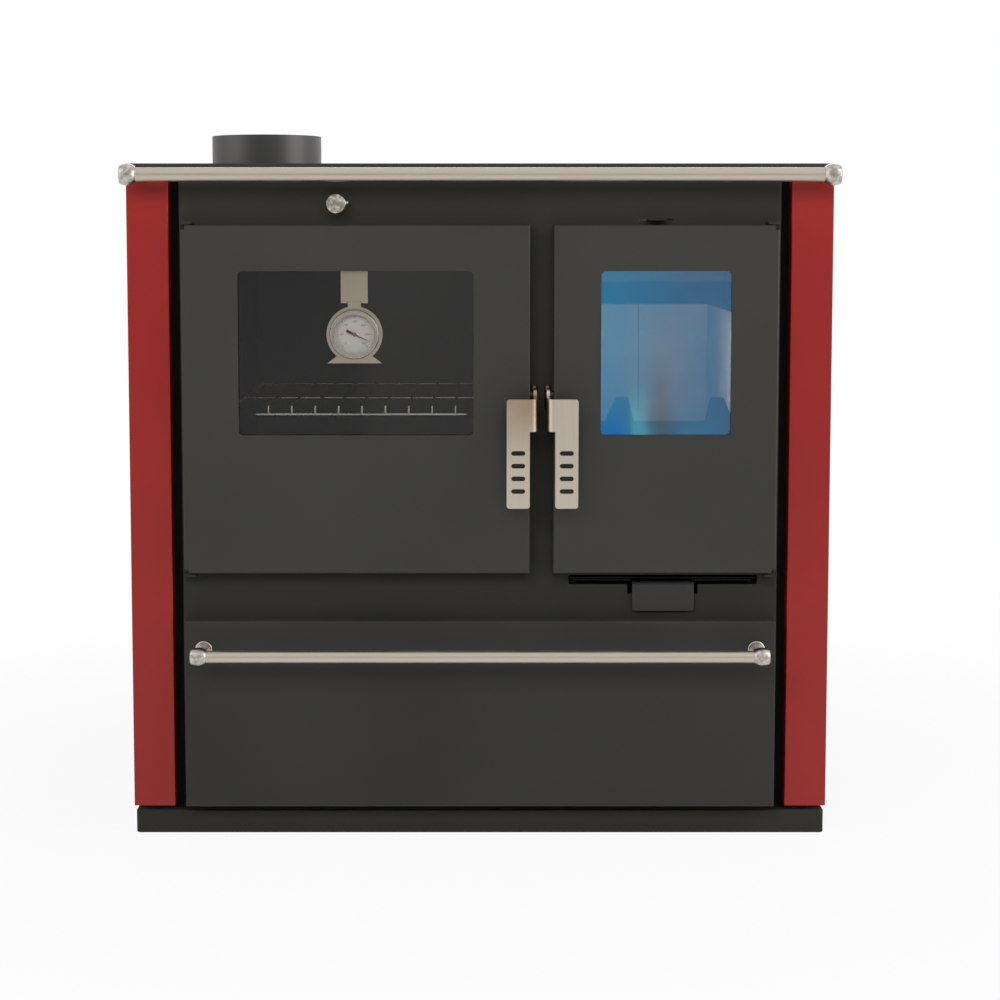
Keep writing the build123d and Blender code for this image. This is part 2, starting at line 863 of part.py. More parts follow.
def door_opening(which):
    """The opening in the front plate behind a door: two x and two heights."""
    if which == "oven":
        return oven_x - oven_width / 2, oven_x + oven_width / 2, oven_bottom, oven_top
    half = fire_opening_width / 2
    return fire_x - half, fire_x + half, fire_opening_bottom, fire_opening_top


def hinge_x(which):
    inward = 1 if which == "oven" else -1
    return door_edges(which)[2] + inward * hinge_inset


def pin_depth():
    return -door_reach + hinge_depth


def pivot_place():
    return -door_reach + pivot_depth


def catch_slot_top():
    return pivot_z + catch_slot_rise


def catch_slot_x():
    """The outer edge of the oven hook's slot in the front plate."""
    return lever_outer_x() - lever_sheet - catch_slot_play


def make_door_skin(which):
    x0, x1, hinge_edge, free_edge = door_edges(which)
    inward = 1 if which == "oven" else -1
    skin = tray(x0, x1, -door_reach, -door_gap, door_bottom, door_top, door_sheet, door_bend)
    w0, w1 = door_window(which)
    skin -= rounded_plate(w0, w1, -door_reach - 1, -door_reach + door_sheet + 1, window_bottom,
                          window_top, window_corner)
    slot_end = hinge_edge + inward * (hinge_inset + hinge_pin_d)
    for z0, z1, corner in ((door_top - door_sheet, door_top + 1, door_top - notch_height),
                           (door_bottom - 1, door_bottom + door_sheet,
                            door_bottom + notch_height)):
        outer = hinge_edge - inward
        skin -= slab(outer, slot_end, -door_reach + door_sheet, 0, z0, z1)
        skin -= slab(outer, hinge_edge + inward * notch_width, -door_reach - 1, 0,
                     min(z0, corner), max(z1, corner))
    return skin - rod_x(free_edge - inward * (door_sheet + 1), free_edge + inward,
                        pivot_place(), pivot_z, pivot_d / 2)


def make_door_glass(which):
    w0, w1 = door_window(which)
    near = -door_reach + door_sheet
    return slab(w0 - glass_lap, w1 + glass_lap, near, near + glass_sheet,
                window_bottom - glass_lap, window_top + glass_lap)


def make_glass_clips(which):
    """Four folded clips behind the glass, one at the middle of each edge."""
    w0, w1 = door_window(which)
    near = -door_reach + door_sheet
    x0, x1 = w0 - glass_lap - clip_gap, w1 + glass_lap + clip_gap
    z0, z1 = window_bottom - glass_lap - clip_gap, window_top + glass_lap + clip_gap
    behind = near + glass_sheet
    half, s = clip_width / 2, clip_sheet
    clips = []
    for x, out in ((x0, -1), (x1, 1)):
        z = (z0 + z1) / 2
        foot = slab(x, x + out * s, near, behind + s, z - half, z + half)
        clips.append(foot + slab(x, x - out * clip_lap, behind, behind + s, z - half, z + half))
    for z, out in ((z0, -1), (z1, 1)):
        x = w0 + half if z == z1 else (w0 + w1) / 2
        foot = slab(x - half, x + half, near, behind + s, z, z + out * s)
        clips.append(foot + slab(x - half, x + half, behind, behind + s, z, z - out * clip_lap))
    return solids_of(clips)


def liner_back():
    return -rope_gap - rope_d


def make_door_liner(which):
    """The sheet that closes the back of a door, with ribs for the rope and two hinge lugs."""
    x0, x1, hinge_edge, free_edge = door_edges(which)
    inward = 1 if which == "oven" else -1
    s, near = door_sheet, liner_back() - liner_sheet
    liner = slab(x0 + s, x1 - s, near, liner_back(), door_bottom + s, door_top - s)
    w0, w1 = door_window(which)
    edge = glass_lap / 2
    liner -= slab(w0 - edge, w1 + edge, near - 1, liner_back() + 1, window_bottom - edge,
                  window_top + edge)
    rib_end = liner_back() + rib_height
    for edge in (rope_offset + rope_d / 2, rope_offset - rope_d / 2 - rib_sheet):
        liner += frame_ring(door_opening(which), liner_back(), rib_end, edge, edge + rib_sheet)
    nut = pivot_head_d / 2 + 1
    liner -= slab(free_edge - inward * (s + pivot_nut_h + 1), free_edge, near - 1,
                  liner_back() + 1, pivot_z - nut, pivot_z + nut)
    axis_x = hinge_x(which)
    lug_x0 = hinge_edge + inward * s
    for z0, z1 in ((door_top - s - lug_height, door_top - s),
                   (door_bottom + s, door_bottom + s + lug_height)):
        lug = slab(lug_x0, lug_x0 + inward * lug_width, -door_reach + s, near, z0, z1)
        liner += lug - rod_z(axis_x, pin_depth(), z0 - 1, z1 + 1, hinge_pin_d / 2 + hinge_play)
    return liner


def make_door_rope(which):
    """A rope seal bent round the opening, flattened where it beds on the liner."""
    ring = frame_ring(door_opening(which), liner_back(), liner_back() + rope_d,
                      rope_offset - rope_d / 2, rope_offset + rope_d / 2)
    rims = ring.faces().sort_by(Axis.Y)[-1].edges()
    return fillet(rims, rope_d * 0.4)


def make_hinges():
    """Four tabs on the front plate, each with a pin into a door."""
    pieces = []
    for which in ("oven", "fire"):
        x = hinge_x(which)
        for side, z in ((1, door_top), (-1, door_bottom)):
            tab_near = z + side * hinge_tab_gap
            tab_far = tab_near + side * hinge_tab_sheet
            half = hinge_tab_width / 2
            tab = slab(x - half, x + half, pin_depth() - half, 0, tab_near, tab_far)
            washer_end = z + side * hinge_washer_play
            tab += rod_z(x, pin_depth(), tab_near, washer_end, hinge_pin_d)
            tab -= rod_z(x, pin_depth(), z - 3 * side, tab_far + side, hinge_pin_d / 2)
            pin_end = z - side * (door_sheet + lug_height)
            pieces += [tab, rod_z(x, pin_depth(), pin_end, tab_far, hinge_pin_d / 2)]
    return solids_of(pieces)


# Lever handles, drawn for the oven door and mirrored for the fire door

def lever_outer_x():
    return apart_x - lever_apart / 2


def lever_front():
    return -door_reach - lever_reach


def lever_grip_edge():
    """The inner edge of the narrow part of the grip."""
    return lever_outer_x() - lever_step


def make_oven_handle():
    outer, front = lever_outer_x(), lever_front()
    z0, z1 = lever_top - lever_length, lever_top
    grip_x1 = lever_grip_edge()
    grip_x0 = grip_x1 - lever_width
    grip = rounded_plate(grip_x0, outer, front, front + lever_sheet, z0, z1, lever_corner)
    grip -= slab(grip_x1, outer + 1, front - 1, front + lever_sheet + 1, z0 - 1,
                 z1 - lever_shoulder)
    corner = grip.edges().filter_by(Axis.Y).sort_by(
        lambda e: abs(e.center().X - grip_x1) + abs(e.center().Z - z0))[0]
    grip = fillet(corner, lever_corner)
    for n in range(lever_slot_count):
        z = z0 + lever_slot_end + n * lever_slot_pitch
        x = (grip_x0 + grip_x1) / 2
        slot = SlotOverall(lever_slot_length, lever_slot_height)
        grip -= extrude(front_plane(x, front - 1, z) * slot, lever_sheet + 2)
    near, far = front, front_sheet + hook_reach
    eye = pivot_place()
    low, high = pivot_z - lever_arm_drop, pivot_z + lever_arm_rise
    side = side_profile(outer - lever_sheet, outer, [
        (near, z1), (eye - lever_eye_r, z1), (eye, high), (far, high), (far, low),
        (eye + lever_eye_r, low), (eye - 2, z1 - lever_shoulder), (near, z1 - lever_shoulder)])
    side += rod_x(outer - lever_sheet, outer, eye, pivot_z, lever_eye_r)
    side += slab(outer - lever_sheet, outer, far - hook_width, far, low,
                 pivot_z + hook_height)
    lever = grip + side
    for x, depth, radius in ((outer - lever_sheet, front + lever_sheet, lever_inner_bend),
                             (outer, front, lever_bend)):
        bend = lever.edges().filter_by(Axis.Z).sort_by(
            lambda e: abs(e.center().X - x) + abs(e.center().Y - back(depth)))[0]
        lever = fillet(bend, radius)
    return lever - rod_x(outer - lever_sheet - 1, outer + 1, eye, pivot_z,
                         pivot_d / 2 + pivot_play)


def make_oven_handle_pivot():
    """A shouldered bolt through the door's edge: nut, spacer, shoulder and head."""
    edge, outer, depth = oven_door_right, lever_outer_x(), pivot_place()
    head = outer + pivot_side_gap
    inner = outer - lever_sheet - pivot_side_gap
    nut = edge - door_sheet - pivot_nut_h
    bolt = rod_x(nut - 1, head, depth, pivot_z, pivot_d / 2)
    bolt += rod_x(nut, edge - door_sheet, depth, pivot_z, pivot_head_d / 2)
    bolt += rod_x(edge, inner, depth, pivot_z, pivot_head_d / 2)
    return bolt + rod_x(head, head + pivot_cap_h, depth, pivot_z, pivot_cap_d / 2)


def other_side(shape):
    """The fire door's copy of a piece of the oven door's handle."""
    return mirror(shape, about=Plane(origin=(apart_x, 0, 0), z_dir=(1, 0, 0)))


def make_latch_keeper():
    half = apart_x - catch_slot_x()
    top = catch_slot_top()
    return slab(apart_x - half, apart_x + half, front_sheet, front_sheet + keeper_sheet, top,
                top + keeper_height)


# Oven thermometer

def strap_front():
    return liner_back() - liner_sheet - strap_sheet


def neck_depth():
    """The front of the stand's sheet, between the strap and its hook."""
    return strap_front() + strap_sheet + neck_play


def hook_top():
    return strap_bottom + strap_hook_height


def make_thermometer_strap():
    """A strap from the liner down behind the glass, folded back into a hook at its foot."""
    near, s = strap_front(), strap_sheet
    half = strap_width / 2
    top = window_top + glass_lap / 2 + strap_lap
    strap = slab(thermo_x - half, thermo_x + half, near, near + s, strap_bottom, top)
    foot_end = near + strap_hook_depth
    strap += slab(thermo_x - half, thermo_x + half, near, foot_end, strap_bottom,
                  strap_bottom + s)
    strap += slab(thermo_x - half, thermo_x + half, foot_end - s, foot_end, strap_bottom,
                  hook_top())
    return strap - slab(thermo_x - strap_notch / 2, thermo_x + strap_notch / 2, near - 1,
                        foot_end - s, strap_bottom - 1, strap_bottom + s + 0.7)


def case_profile():
    """Half section of the case: pairs of radius and depth behind the bezel's front."""
    r, w = case_d / 2, case_wall
    sheet_place = bezel_depth
    return [(bezel_d / 2 - bezel_lip, 0), (bezel_d / 2 - 2, 0), (bezel_d / 2, 2),
            (bezel_d / 2, sheet_place), (r, sheet_place), (r, case_depth), (0, case_depth),
            (0, case_depth - w), (r - w, case_depth - w), (r - w, w),
            (bezel_d / 2 - bezel_lip, w)]


def bezel_front():
    return neck_depth() - bezel_depth


def disc(radius, start, thickness):
    """A disc of the thermometer, start behind the bezel's front."""
    near = bezel_front() + start
    return rod_y(thermo_x, near, near + thickness, thermo_z, radius)


def make_thermometer_case():
    points = [(thermo_x + r, back(bezel_front() + d), thermo_z) for r, d in case_profile()]
    face = make_face(Polyline(*points, close=True))
    axis = Axis((thermo_x, 0, thermo_z), (0, 1, 0))
    return revolve(face, axis)


def make_thermometer_stand():
    """One sheet: a ring behind the bezel, a neck with a hook and a foot."""
    near, far = neck_depth(), neck_depth() + stand_sheet
    sheet = rod_y(thermo_x, near, far, thermo_z, stand_d / 2)
    half = neck_width / 2
    hook_z = hook_top() + stand_sheet + 0.3
    sheet += slab(thermo_x - half, thermo_x + half, near, far, thermo_z, hook_z)
    waist, base = foot_waist / 2, foot_width / 2
    bottom = thermo_z - stand_d / 2 - foot_drop
    shoulder = bottom + foot_height
    sheet += front_profile(near, far, [
        (thermo_x - base, bottom), (thermo_x + base, bottom), (thermo_x + waist, shoulder),
        (thermo_x + waist, thermo_z), (thermo_x - waist, thermo_z), (thermo_x - waist, shoulder)])
    sheet -= rod_y(thermo_x, near - 1, far + 1, thermo_z, case_d / 2)
    hook_far = strap_front() + strap_hook_depth + 1
    sheet += slab(thermo_x - half, thermo_x + half, near, hook_far + stand_sheet,
                  hook_z - stand_sheet, hook_z)
    return sheet + slab(thermo_x - half, thermo_x + half, hook_far, hook_far + stand_sheet,
                        hook_z - 5, hook_z)


def make_thermometer_dial():
    start = dial_set_back
    dial = disc(case_d / 2 - case_wall, start, dial_sheet)
    return dial - disc(spindle_d / 2 + spindle_play, start - 1, dial_sheet + 2)


def make_thermometer_glass():
    return disc(case_d / 2 - case_wall, case_wall, thermo_glass_sheet)


def make_thermometer_pointer():
    """A needle on a spindle: it points right and a little down."""
    start = dial_set_back - 2.5
    spindle_end = case_depth - case_wall - 0.3
    needle = slab(thermo_x - pointer_tail, thermo_x, bezel_front() + start,
                  bezel_front() + start + pointer_sheet, thermo_z - pointer_width / 2,
                  thermo_z + pointer_width / 2)
    near = bezel_front() + start
    needle += front_profile(near, near + pointer_sheet, [
        (thermo_x, thermo_z - pointer_width / 2), (thermo_x + pointer_length, thermo_z - 0.3),
        (thermo_x + pointer_length, thermo_z + 0.3), (thermo_x, thermo_z + pointer_width / 2)])
    turn = Pos(thermo_x, 0, thermo_z) * Rot(0, pointer_turn, 0) * Pos(-thermo_x, 0, -thermo_z)
    hub = disc(pointer_width, start - 0.4, 1.2)
    return turn * needle + hub + disc(spindle_d / 2, start, spindle_end - start)


# Smoke path, flue box and damper

def make_smoke_floor():
    """The floor and the back wall of the smoke path, one folded sheet."""
    x, s = half_casing - casing_sheet, casing_sheet
    floor = slab(-x, x, front_sheet, smoke_back_depth, smoke_floor_z, smoke_floor_z + s)
    wall_right = fire_x - half_firebox
    wall = slab(-x, wall_right, smoke_back_depth - s, smoke_back_depth, smoke_floor_z + s,
                under_top)
    clear = casing_flange
    floor -= slab(x - clear, x + 1, 0, front_return + s, smoke_floor_z - 1, smoke_floor_z + s + 1)
    floor -= slab(-x - 1, -x + clear, 0, front_return + s, smoke_floor_z - 1,
                  smoke_floor_z + s + 1)
    return floor + wall


def make_flue_box():
    """Sheets that part the flue's chamber from the passage over the oven."""
    s, left = flue_box_sheet, -half_casing + casing_sheet
    oven_back = front_sheet + oven_depth
    oven_left = oven_x - oven_width / 2 - oven_sheet
    roof = oven_top + oven_sheet
    front = slab(left, flue_box_right, flue_box_front, flue_box_front + s, roof, under_top)
    side = slab(flue_box_right - s, flue_box_right, flue_box_front, oven_back + s, roof,
                under_top)
    rear = slab(flue_box_right, fire_x - half_firebox, oven_back, oven_back + s, roof,
                under_top)
    shelf = slab(left, oven_left, flue_box_front, oven_back + s, roof - s, roof)
    cheek = slab(left, oven_left, oven_back, oven_back + s, smoke_floor_z + casing_sheet,
                 roof - s)
    front -= slab(damper_x - bypass_left, damper_x + bypass_right, flue_box_front - 1,
                  flue_box_front + s + 1, damper_z - bypass_height / 2,
                  damper_z + bypass_height / 2)
    return front + side + rear + shelf + cheek


def make_damper():
    """A valve plate in front of the by-pass opening, riveted to its rod."""
    far = flue_box_front - damper_play
    near = far - damper_plate_sheet
    m = damper_plate_margin
    plate = slab(damper_x - bypass_left - m, damper_x + bypass_right + m, near, far,
                 damper_z - bypass_height / 2 - m, damper_z + bypass_height / 2 + m)
    plate -= rod_y(damper_x, near - 1, far + 1, damper_z, rod_d / 2)
    return solids_of([plate, rod_y(damper_x, -knob_gap, far, damper_z, rod_d / 2)])


def make_damper_knob():
    """A turned knob with grooves on its face and a cross pin."""
    near, far = -knob_gap - knob_length, -knob_gap
    knob = rod_y(damper_x, near, far, damper_z, knob_d / 2)
    knob = fillet(knob.faces().sort_by(Axis.Y)[0].edges(), 2)
    knob = fillet(knob.faces().sort_by(Axis.Y)[-1].edges(), 1)
    for share in (0.3, 0.55, 0.78):
        outer = rod_y(damper_x, near - 1, near + 0.5, damper_z, knob_d / 2 * share)
        knob -= outer - rod_y(damper_x, near - 1, near + 0.5, damper_z, knob_d / 2 * share - 0.7)
    middle = (near + far) / 2
    return knob + rod_x(damper_x, damper_x + knob_d / 2 + knob_pin_reach, middle,
                        damper_z + knob_pin_rise, knob_pin_d / 2)


def make_damper_bush():
    bush = rod_y(damper_x, -bush_rim, 0, damper_z, bush_d / 2)
    bush += rod_y(damper_x, 0, bush_length, damper_z, bush_d / 2 - bush_rim)
    return bush - rod_y(damper_x, -bush_rim - 1, bush_length + 1, damper_z,
                        rod_d / 2 + rod_play)


# Firebox

def make_firebox_casing():
    x0, x1, s = fire_x - half_firebox, fire_x + half_firebox, firebox_sheet
    near, far = front_sheet, front_sheet + firebox_depth
    floor = smoke_floor_z + casing_sheet
    left = slab(x0, x0 + s, near, far, floor, oven_top + gas_passage)
    right = slab(x1 - s, x1, near, far, floor, under_top)
    rear = slab(x0, x1, far - s, far, floor, under_top)
    casing = left + right + rear
    for x in (x0 + s, x1 - s - ledge_width):
        casing += slab(x, x + ledge_width, near, far - s, ledge_z - s, ledge_z)
    return casing


def make_firebricks():
    x0, x1 = fire_x - half_fire_inside, fire_x + half_fire_inside
    near, far = front_sheet + brick_sheet, front_sheet + firebox_depth - firebox_sheet
    rear_near = far - brick_sheet
    middle = (near + rear_near) / 2
    gap = brick_joint / 2
    bricks = []
    for x in (x0, x1 - brick_sheet):
        bricks.append(slab(x, x + brick_sheet, near, middle - gap, ledge_z, brick_top))
        bricks.append(slab(x, x + brick_sheet, middle + gap, rear_near - gap, ledge_z, brick_top))
    bricks.append(slab(x0, fire_x - gap, rear_near, far, ledge_z, brick_top))
    bricks.append(slab(fire_x + gap, x1, rear_near, far, ledge_z, brick_top))
    bricks = [fillet(brick.edges().filter_by(Axis.Z), brick_corner) for brick in bricks]
    return solids_of(bricks)


def make_log_guard():
    half = half_fire_inside - guard_margin
    x0, x1 = fire_x - half, fire_x + half
    near, far, half_ear = guard_depth, guard_depth + guard_sheet, guard_ear_width / 2
    outline = [(x0, guard_top), (x0, ledge_z), (x1, ledge_z), (x1, guard_top)]
    for side in (1, -1):
        ear = fire_x + guard_ears_aside + side * guard_ear_reach
        edge = [(ear + side * (half_ear + guard_ear_outer_slope), guard_top),
                (ear + side * half_ear, guard_ear_top), (ear - side * half_ear, guard_ear_top),
                (ear - side * (half_ear + guard_ear_inner_slope), guard_top)]
        outline += edge if side > 0 else edge[::-1]
    return front_profile(near, far, outline)


def make_grate():
    half = half_fire_inside - brick_sheet - grate_play
    near = guard_depth + guard_sheet + grate_play
    far = front_sheet + firebox_depth - firebox_sheet - brick_sheet - grate_play
    grate = slab(fire_x - half, fire_x + half, near, far, ledge_z, ledge_z + grate_sheet)
    count = int((far - near - 30) // grate_bar_pitch)
    start = (near + far - (count - 1) * grate_bar_pitch) / 2
    for n in range(count):
        d = start + n * grate_bar_pitch
        for side in (-1, 1):
            slot = slab(fire_x + side * 6, fire_x + side * (half - 18), d - grate_slot_width / 2,
                        d + grate_slot_width / 2, ledge_z - 1, ledge_z + grate_sheet + 1)
            grate -= slot
    return grate


def make_air_box():
    """Ash floor above, port plate below, and lips that the air slide runs on."""
    x0, x1 = fire_x - half_fire_inside, fire_x + half_fire_inside
    near, far = front_sheet, front_sheet + firebox_depth - firebox_sheet
    s, roof = ash_sheet, slide_z + slide_sheet + slide_play
    box = slab(x0, x1, near, far, ash_floor_z, ash_floor_z + s)
    box += slab(x0, x1, far - s, far, roof, ash_floor_z)
    box += slab(x0, x1, near + slide_front, far, roof, roof + s)
    box += slab(x0, x1, near, near + slide_front, air_slot_top + 1, ash_floor_z)
    box -= slab(fire_x - port_width / 2, fire_x + port_width / 2, port_start,
                port_start + port_length, roof - 1, roof + s + 1)
    for start in (port_start, far - port_start - port_length):
        box -= slab(fire_x - port_width / 2, fire_x + port_width / 2, start,
                    start + port_length, ash_floor_z - 1, ash_floor_z + s + 1)
    lip_top = slide_z - slide_play
    slide_half = air_slot_width / 2 - slide_margin
    end = slide_front + slide_length + 10
    for side in (-1, 1):
        edge = fire_x + side * half_fire_inside
        inner = fire_x + side * (slide_half - 6)
        box += slab(edge, inner, slide_front, end, lip_top - s, lip_top)
        box += slab(edge, edge - side * s, slide_front, end, lip_top - s, roof)
    return box


def make_air_slide():
    """A flat slide with one port, and a tongue that bends down in front as the tab."""
    half = air_slot_width / 2 - slide_margin
    z0, z1, s = slide_z, slide_z + slide_sheet, slide_sheet
    slide = slab(fire_x - half, fire_x + half, slide_front, slide_front + slide_length, z0, z1)
    shift = port_start + slide_travel()
    slide -= slab(fire_x - port_width / 2, fire_x + port_width / 2, shift, shift + port_length,
                  z0 - 1, z1 + 1)
    turn_d, turn_z = tab_bend - tab_reach, z1 - tab_bend
    x0, x1 = fire_x - tab_width / 2, fire_x + tab_width / 2
    slide += slab(x0, x1, turn_d, slide_front, z0, z1)
    bend = rod_x(x0, x1, turn_d, turn_z, tab_bend) - rod_x(x0, x1, turn_d, turn_z, tab_bend - s)
    bend &= slab(x0, x1, turn_d - tab_bend, turn_d, turn_z, z1)
    tab = slab(x0, x1, -tab_reach, -tab_reach + s, tab_bottom, turn_z)
    tab = fillet(tab.edges().filter_by(Axis.Y).group_by(Axis.Z)[0], 2.5)
    return slide + bend + tab


def slide_travel():
    return port_length + port_overlap


def make_ash_pan():
    half, s = ash_pan_width / 2, ash_pan_sheet
    z0 = ash_floor_z + ash_sheet + pan_play
    z1 = z0 + ash_pan_height
    near, far = ash_pan_front, ash_pan_front + ash_pan_depth
    pan = slab(fire_x - half, fire_x + half, near, far, z0, z1)
    pan -= slab(fire_x - half + s, fire_x + half - s, near + s, far - s, z0 + s, z1 + 1)
    grip = half / 2
    return pan + slab(fire_x - grip, fire_x + grip, near - ash_pan_lip, near, z1 - s, z1)


def make_air_shutter():
    half, s = shutter_width / 2, shutter_sheet
    z0, near = shutter_tab_z - shutter_height / 2, front_sheet + shutter_play
    plate = slab(shutter_tab_x, shutter_tab_x + 2 * half, near, near + s, z0,
                 z0 + shutter_height)
    plate += slab(shutter_tab_x - shutter_tab_width / 2, shutter_tab_x, near, near + s,
                  z0, z0 + shutter_height)
    tab = slab(shutter_tab_x - shutter_tab_width / 2, shutter_tab_x + shutter_tab_width / 2,
               -shutter_tab_reach, near, shutter_tab_z - s / 2, shutter_tab_z + s / 2)
    tab = fillet(tab.edges().filter_by(Axis.Z).group_by(Axis.Y)[0], 3)
    return plate + tab


nodes = {
    "plinth": make_plinth(),
    "base_panel": make_base_panel(),
    "casing_sides": make_casing_sides(),
    "side_panel_right": make_side_panel(),
    "side_panel_left": mirrored(make_side_panel()),
    "front_plate": make_front_plate(),
    "rear_panel": make_rear_panel(),
    "body_screws": make_body_screws(),
    "cooktop": make_cooktop(),
    "hob_ring": make_hob_ring(),
    "hob_lid": make_hob_lid(),
    "flue_collar": make_flue_collar(),
    "top_rail": make_top_rail(),
    "top_rail_ends": make_top_rail_ends(),
    "top_rail_brackets": make_top_rail_brackets(),
    "drawer_guides": make_drawer_guides(),
    "drawer_front": make_drawer_front(),
    "drawer_box": make_drawer_box(),
    "drawer_rail": make_drawer_rail(),
    "drawer_rail_ends": make_drawer_rail_ends(),
    "drawer_rail_brackets": make_drawer_rail_brackets(),
    "oven_box": make_oven_box(),
    "oven_runners": make_oven_runners(),
    "oven_rack": make_oven_rack(),
    "oven_handle": make_oven_handle(),
    "fire_handle": other_side(make_oven_handle()),
    "oven_handle_pivot": make_oven_handle_pivot(),
    "fire_handle_pivot": other_side(make_oven_handle_pivot()),
    "door_hinges": make_hinges(),
    "latch_keeper": make_latch_keeper(),
    "thermometer_strap": make_thermometer_strap(),
    "thermometer_case": make_thermometer_case(),
    "thermometer_stand": make_thermometer_stand(),
    "thermometer_dial": make_thermometer_dial(),
    "thermometer_glass": make_thermometer_glass(),
    "thermometer_pointer": make_thermometer_pointer(),
    "smoke_floor": make_smoke_floor(),
    "flue_box": make_flue_box(),
    "damper": make_damper(),
    "damper_knob": make_damper_knob(),
    "damper_bush": make_damper_bush(),
    "firebox_casing": make_firebox_casing(),
    "firebricks": make_firebricks(),
    "log_guard": make_log_guard(),
    "grate": make_grate(),
    "air_box": make_air_box(),
    "air_slide": make_air_slide(),
    "ash_pan": make_ash_pan(),
    "air_shutter": make_air_shutter(),
}
for door in ("oven", "fire"):
    nodes[door + "_door_skin"] = make_door_skin(door)
    nodes[door + "_door_glass"] = make_door_glass(door)
    nodes[door + "_glass_clips"] = make_glass_clips(door)
    nodes[door + "_door_liner"] = make_door_liner(door)
    nodes[door + "_door_rope"] = make_door_rope(door)

for name, shape in nodes.items():
    export_step(shape, f"parts/{name}.step")
print(len(nodes), "nodes, face at", face_y)
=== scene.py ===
# %% [markdown]
# # A wood-burning cookstove, dressed for its photograph
#
# The stove stands in front of us as it would in a shop window: a charcoal front of sheet steel between two
# red enamelled columns, an oven on the left and a firebox on the right, stainless rails and levers.
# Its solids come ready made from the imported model, in metres, and every piece of this lesson is placed on them.
# The CAD could be shown as it is, but a sheet-metal edge that is sharper than any real fold, and one plain
# colour per part, are what give a drawing away. So the lesson softens edges, adds the small pieces that
# are too fine for the CAD, and mixes a finish for each surface.

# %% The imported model
import json
import math

import bmesh
import bpy
from mathutils import Matrix, Vector


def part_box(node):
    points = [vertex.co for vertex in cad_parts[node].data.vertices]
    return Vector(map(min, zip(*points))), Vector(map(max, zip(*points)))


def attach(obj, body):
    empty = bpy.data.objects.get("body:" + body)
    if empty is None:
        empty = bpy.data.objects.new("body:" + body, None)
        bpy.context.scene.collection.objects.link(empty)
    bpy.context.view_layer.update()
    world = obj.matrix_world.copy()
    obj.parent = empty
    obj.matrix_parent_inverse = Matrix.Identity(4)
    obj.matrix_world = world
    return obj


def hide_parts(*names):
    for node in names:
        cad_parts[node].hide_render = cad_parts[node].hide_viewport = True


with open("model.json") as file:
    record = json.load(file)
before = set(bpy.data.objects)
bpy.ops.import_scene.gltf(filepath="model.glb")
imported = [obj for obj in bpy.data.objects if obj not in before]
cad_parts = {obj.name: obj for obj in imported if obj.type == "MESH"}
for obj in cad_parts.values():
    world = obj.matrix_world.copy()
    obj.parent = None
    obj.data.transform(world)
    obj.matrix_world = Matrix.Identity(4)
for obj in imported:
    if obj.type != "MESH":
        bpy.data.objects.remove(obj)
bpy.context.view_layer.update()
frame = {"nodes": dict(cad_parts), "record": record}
nodes = frame["nodes"]
slot_of = {part["node"]: part["material_slot"] for part in frame["record"]["subparts"]}
body_of = {node: body for body, members in frame["record"]["behaviour"]["bodies"].items() for node in members}

# %% [markdown]
# ## The camera
#
# The photograph was taken with a long lens at the height of the doors' upper edge, and framed off its middle. A
# camera that is turned down makes the columns lean in towards the floor, and a shifted lens moves the
# picture without any lean. The framing here is shared between the two.

# %% Camera
lens_height, lens_distance, lens_aside, look_down = 0.7718, 2.552, -0.0075, math.radians(4.88)
front_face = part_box("front_plate")[0].y
camera = bpy.data.objects.new("camera", bpy.data.cameras.new("camera"))
bpy.context.scene.collection.objects.link(camera)
camera.location = (lens_aside, front_face - lens_distance, lens_height)
camera.rotation_euler = (math.pi / 2 - look_down, 0, 0)
camera.data.sensor_width, camera.data.lens = 36, 73.448
camera.data.shift_x, camera.data.shift_y = 0.026, -0.0993
bpy.context.scene.camera = camera
bpy.context.scene.view_settings.view_transform = "Standard"
print("camera", round(lens_distance, 3), "m in front of the face plate")

# %% [markdown]
# ## Mixing finishes with sums
#
# A finish is a small sum: a little more of this noise, a little less of that stain. Nodes wired by hand hide
# the sum, so one class wraps a socket and lets the sum be written as Python. Anything that isn't
# arithmetic comes from its `node` method, which takes the node's type, its settings and its inputs.

# %% A socket that can be used in sums
class Signal:
    """One output socket of a node tree."""

    def __init__(self, tree, socket):
        self.tree, self.socket = tree, socket

    def node(self, kind, settings=None, inputs=None, output=0):
        made = self.tree.nodes.new(kind)
        for key, value in (settings or {}).items():
            setattr(made, key, value)
        for key, value in (inputs or {}).items():
            if isinstance(value, Signal):
                self.tree.links.new(value.socket, made.inputs[key])
            else:
                made.inputs[key].default_value = value
        return Signal(self.tree, made.outputs[output])

    def sum(self, operation, other, reflected=False):
        first, second = (other, self) if reflected else (self, other)
        return self.node("ShaderNodeMath", {"operation": operation}, {0: first, 1: second})

    def __add__(self, other): return self.sum("ADD", other)
    def __radd__(self, other): return self.sum("ADD", other)
    def __sub__(self, other): return self.sum("SUBTRACT", other)
    def __rsub__(self, other): return self.sum("SUBTRACT", other, True)
    def __mul__(self, other): return self.sum("MULTIPLY", other)
    def __rmul__(self, other): return self.sum("MULTIPLY", other)
    def __truediv__(self, other): return self.sum("DIVIDE", other)

print("a Signal can stand on either side of +, - and *")

# %% [markdown]
# ## Words for a finish
#
# Paint, enamel and brushed steel differ in a handful of things: where the colour wanders, how fine the grain is
# and which way it runs. These helpers read as those words. They all start from Object coordinates, which are
# metres on the stove because every object sits at the origin, so a grain has the same size on each piece.

# %% Helpers for finishes
def shade(red, green, blue):
    """A colour as seen on the screen, 0 to 255, as the linear colour that shaders use."""
    linear = lambda v: v / 12.92 if v <= 0.04045 else ((v + 0.055) / 1.055) ** 2.4
    return tuple(linear(v / 255) for v in (red, green, blue)) + (1.0,)


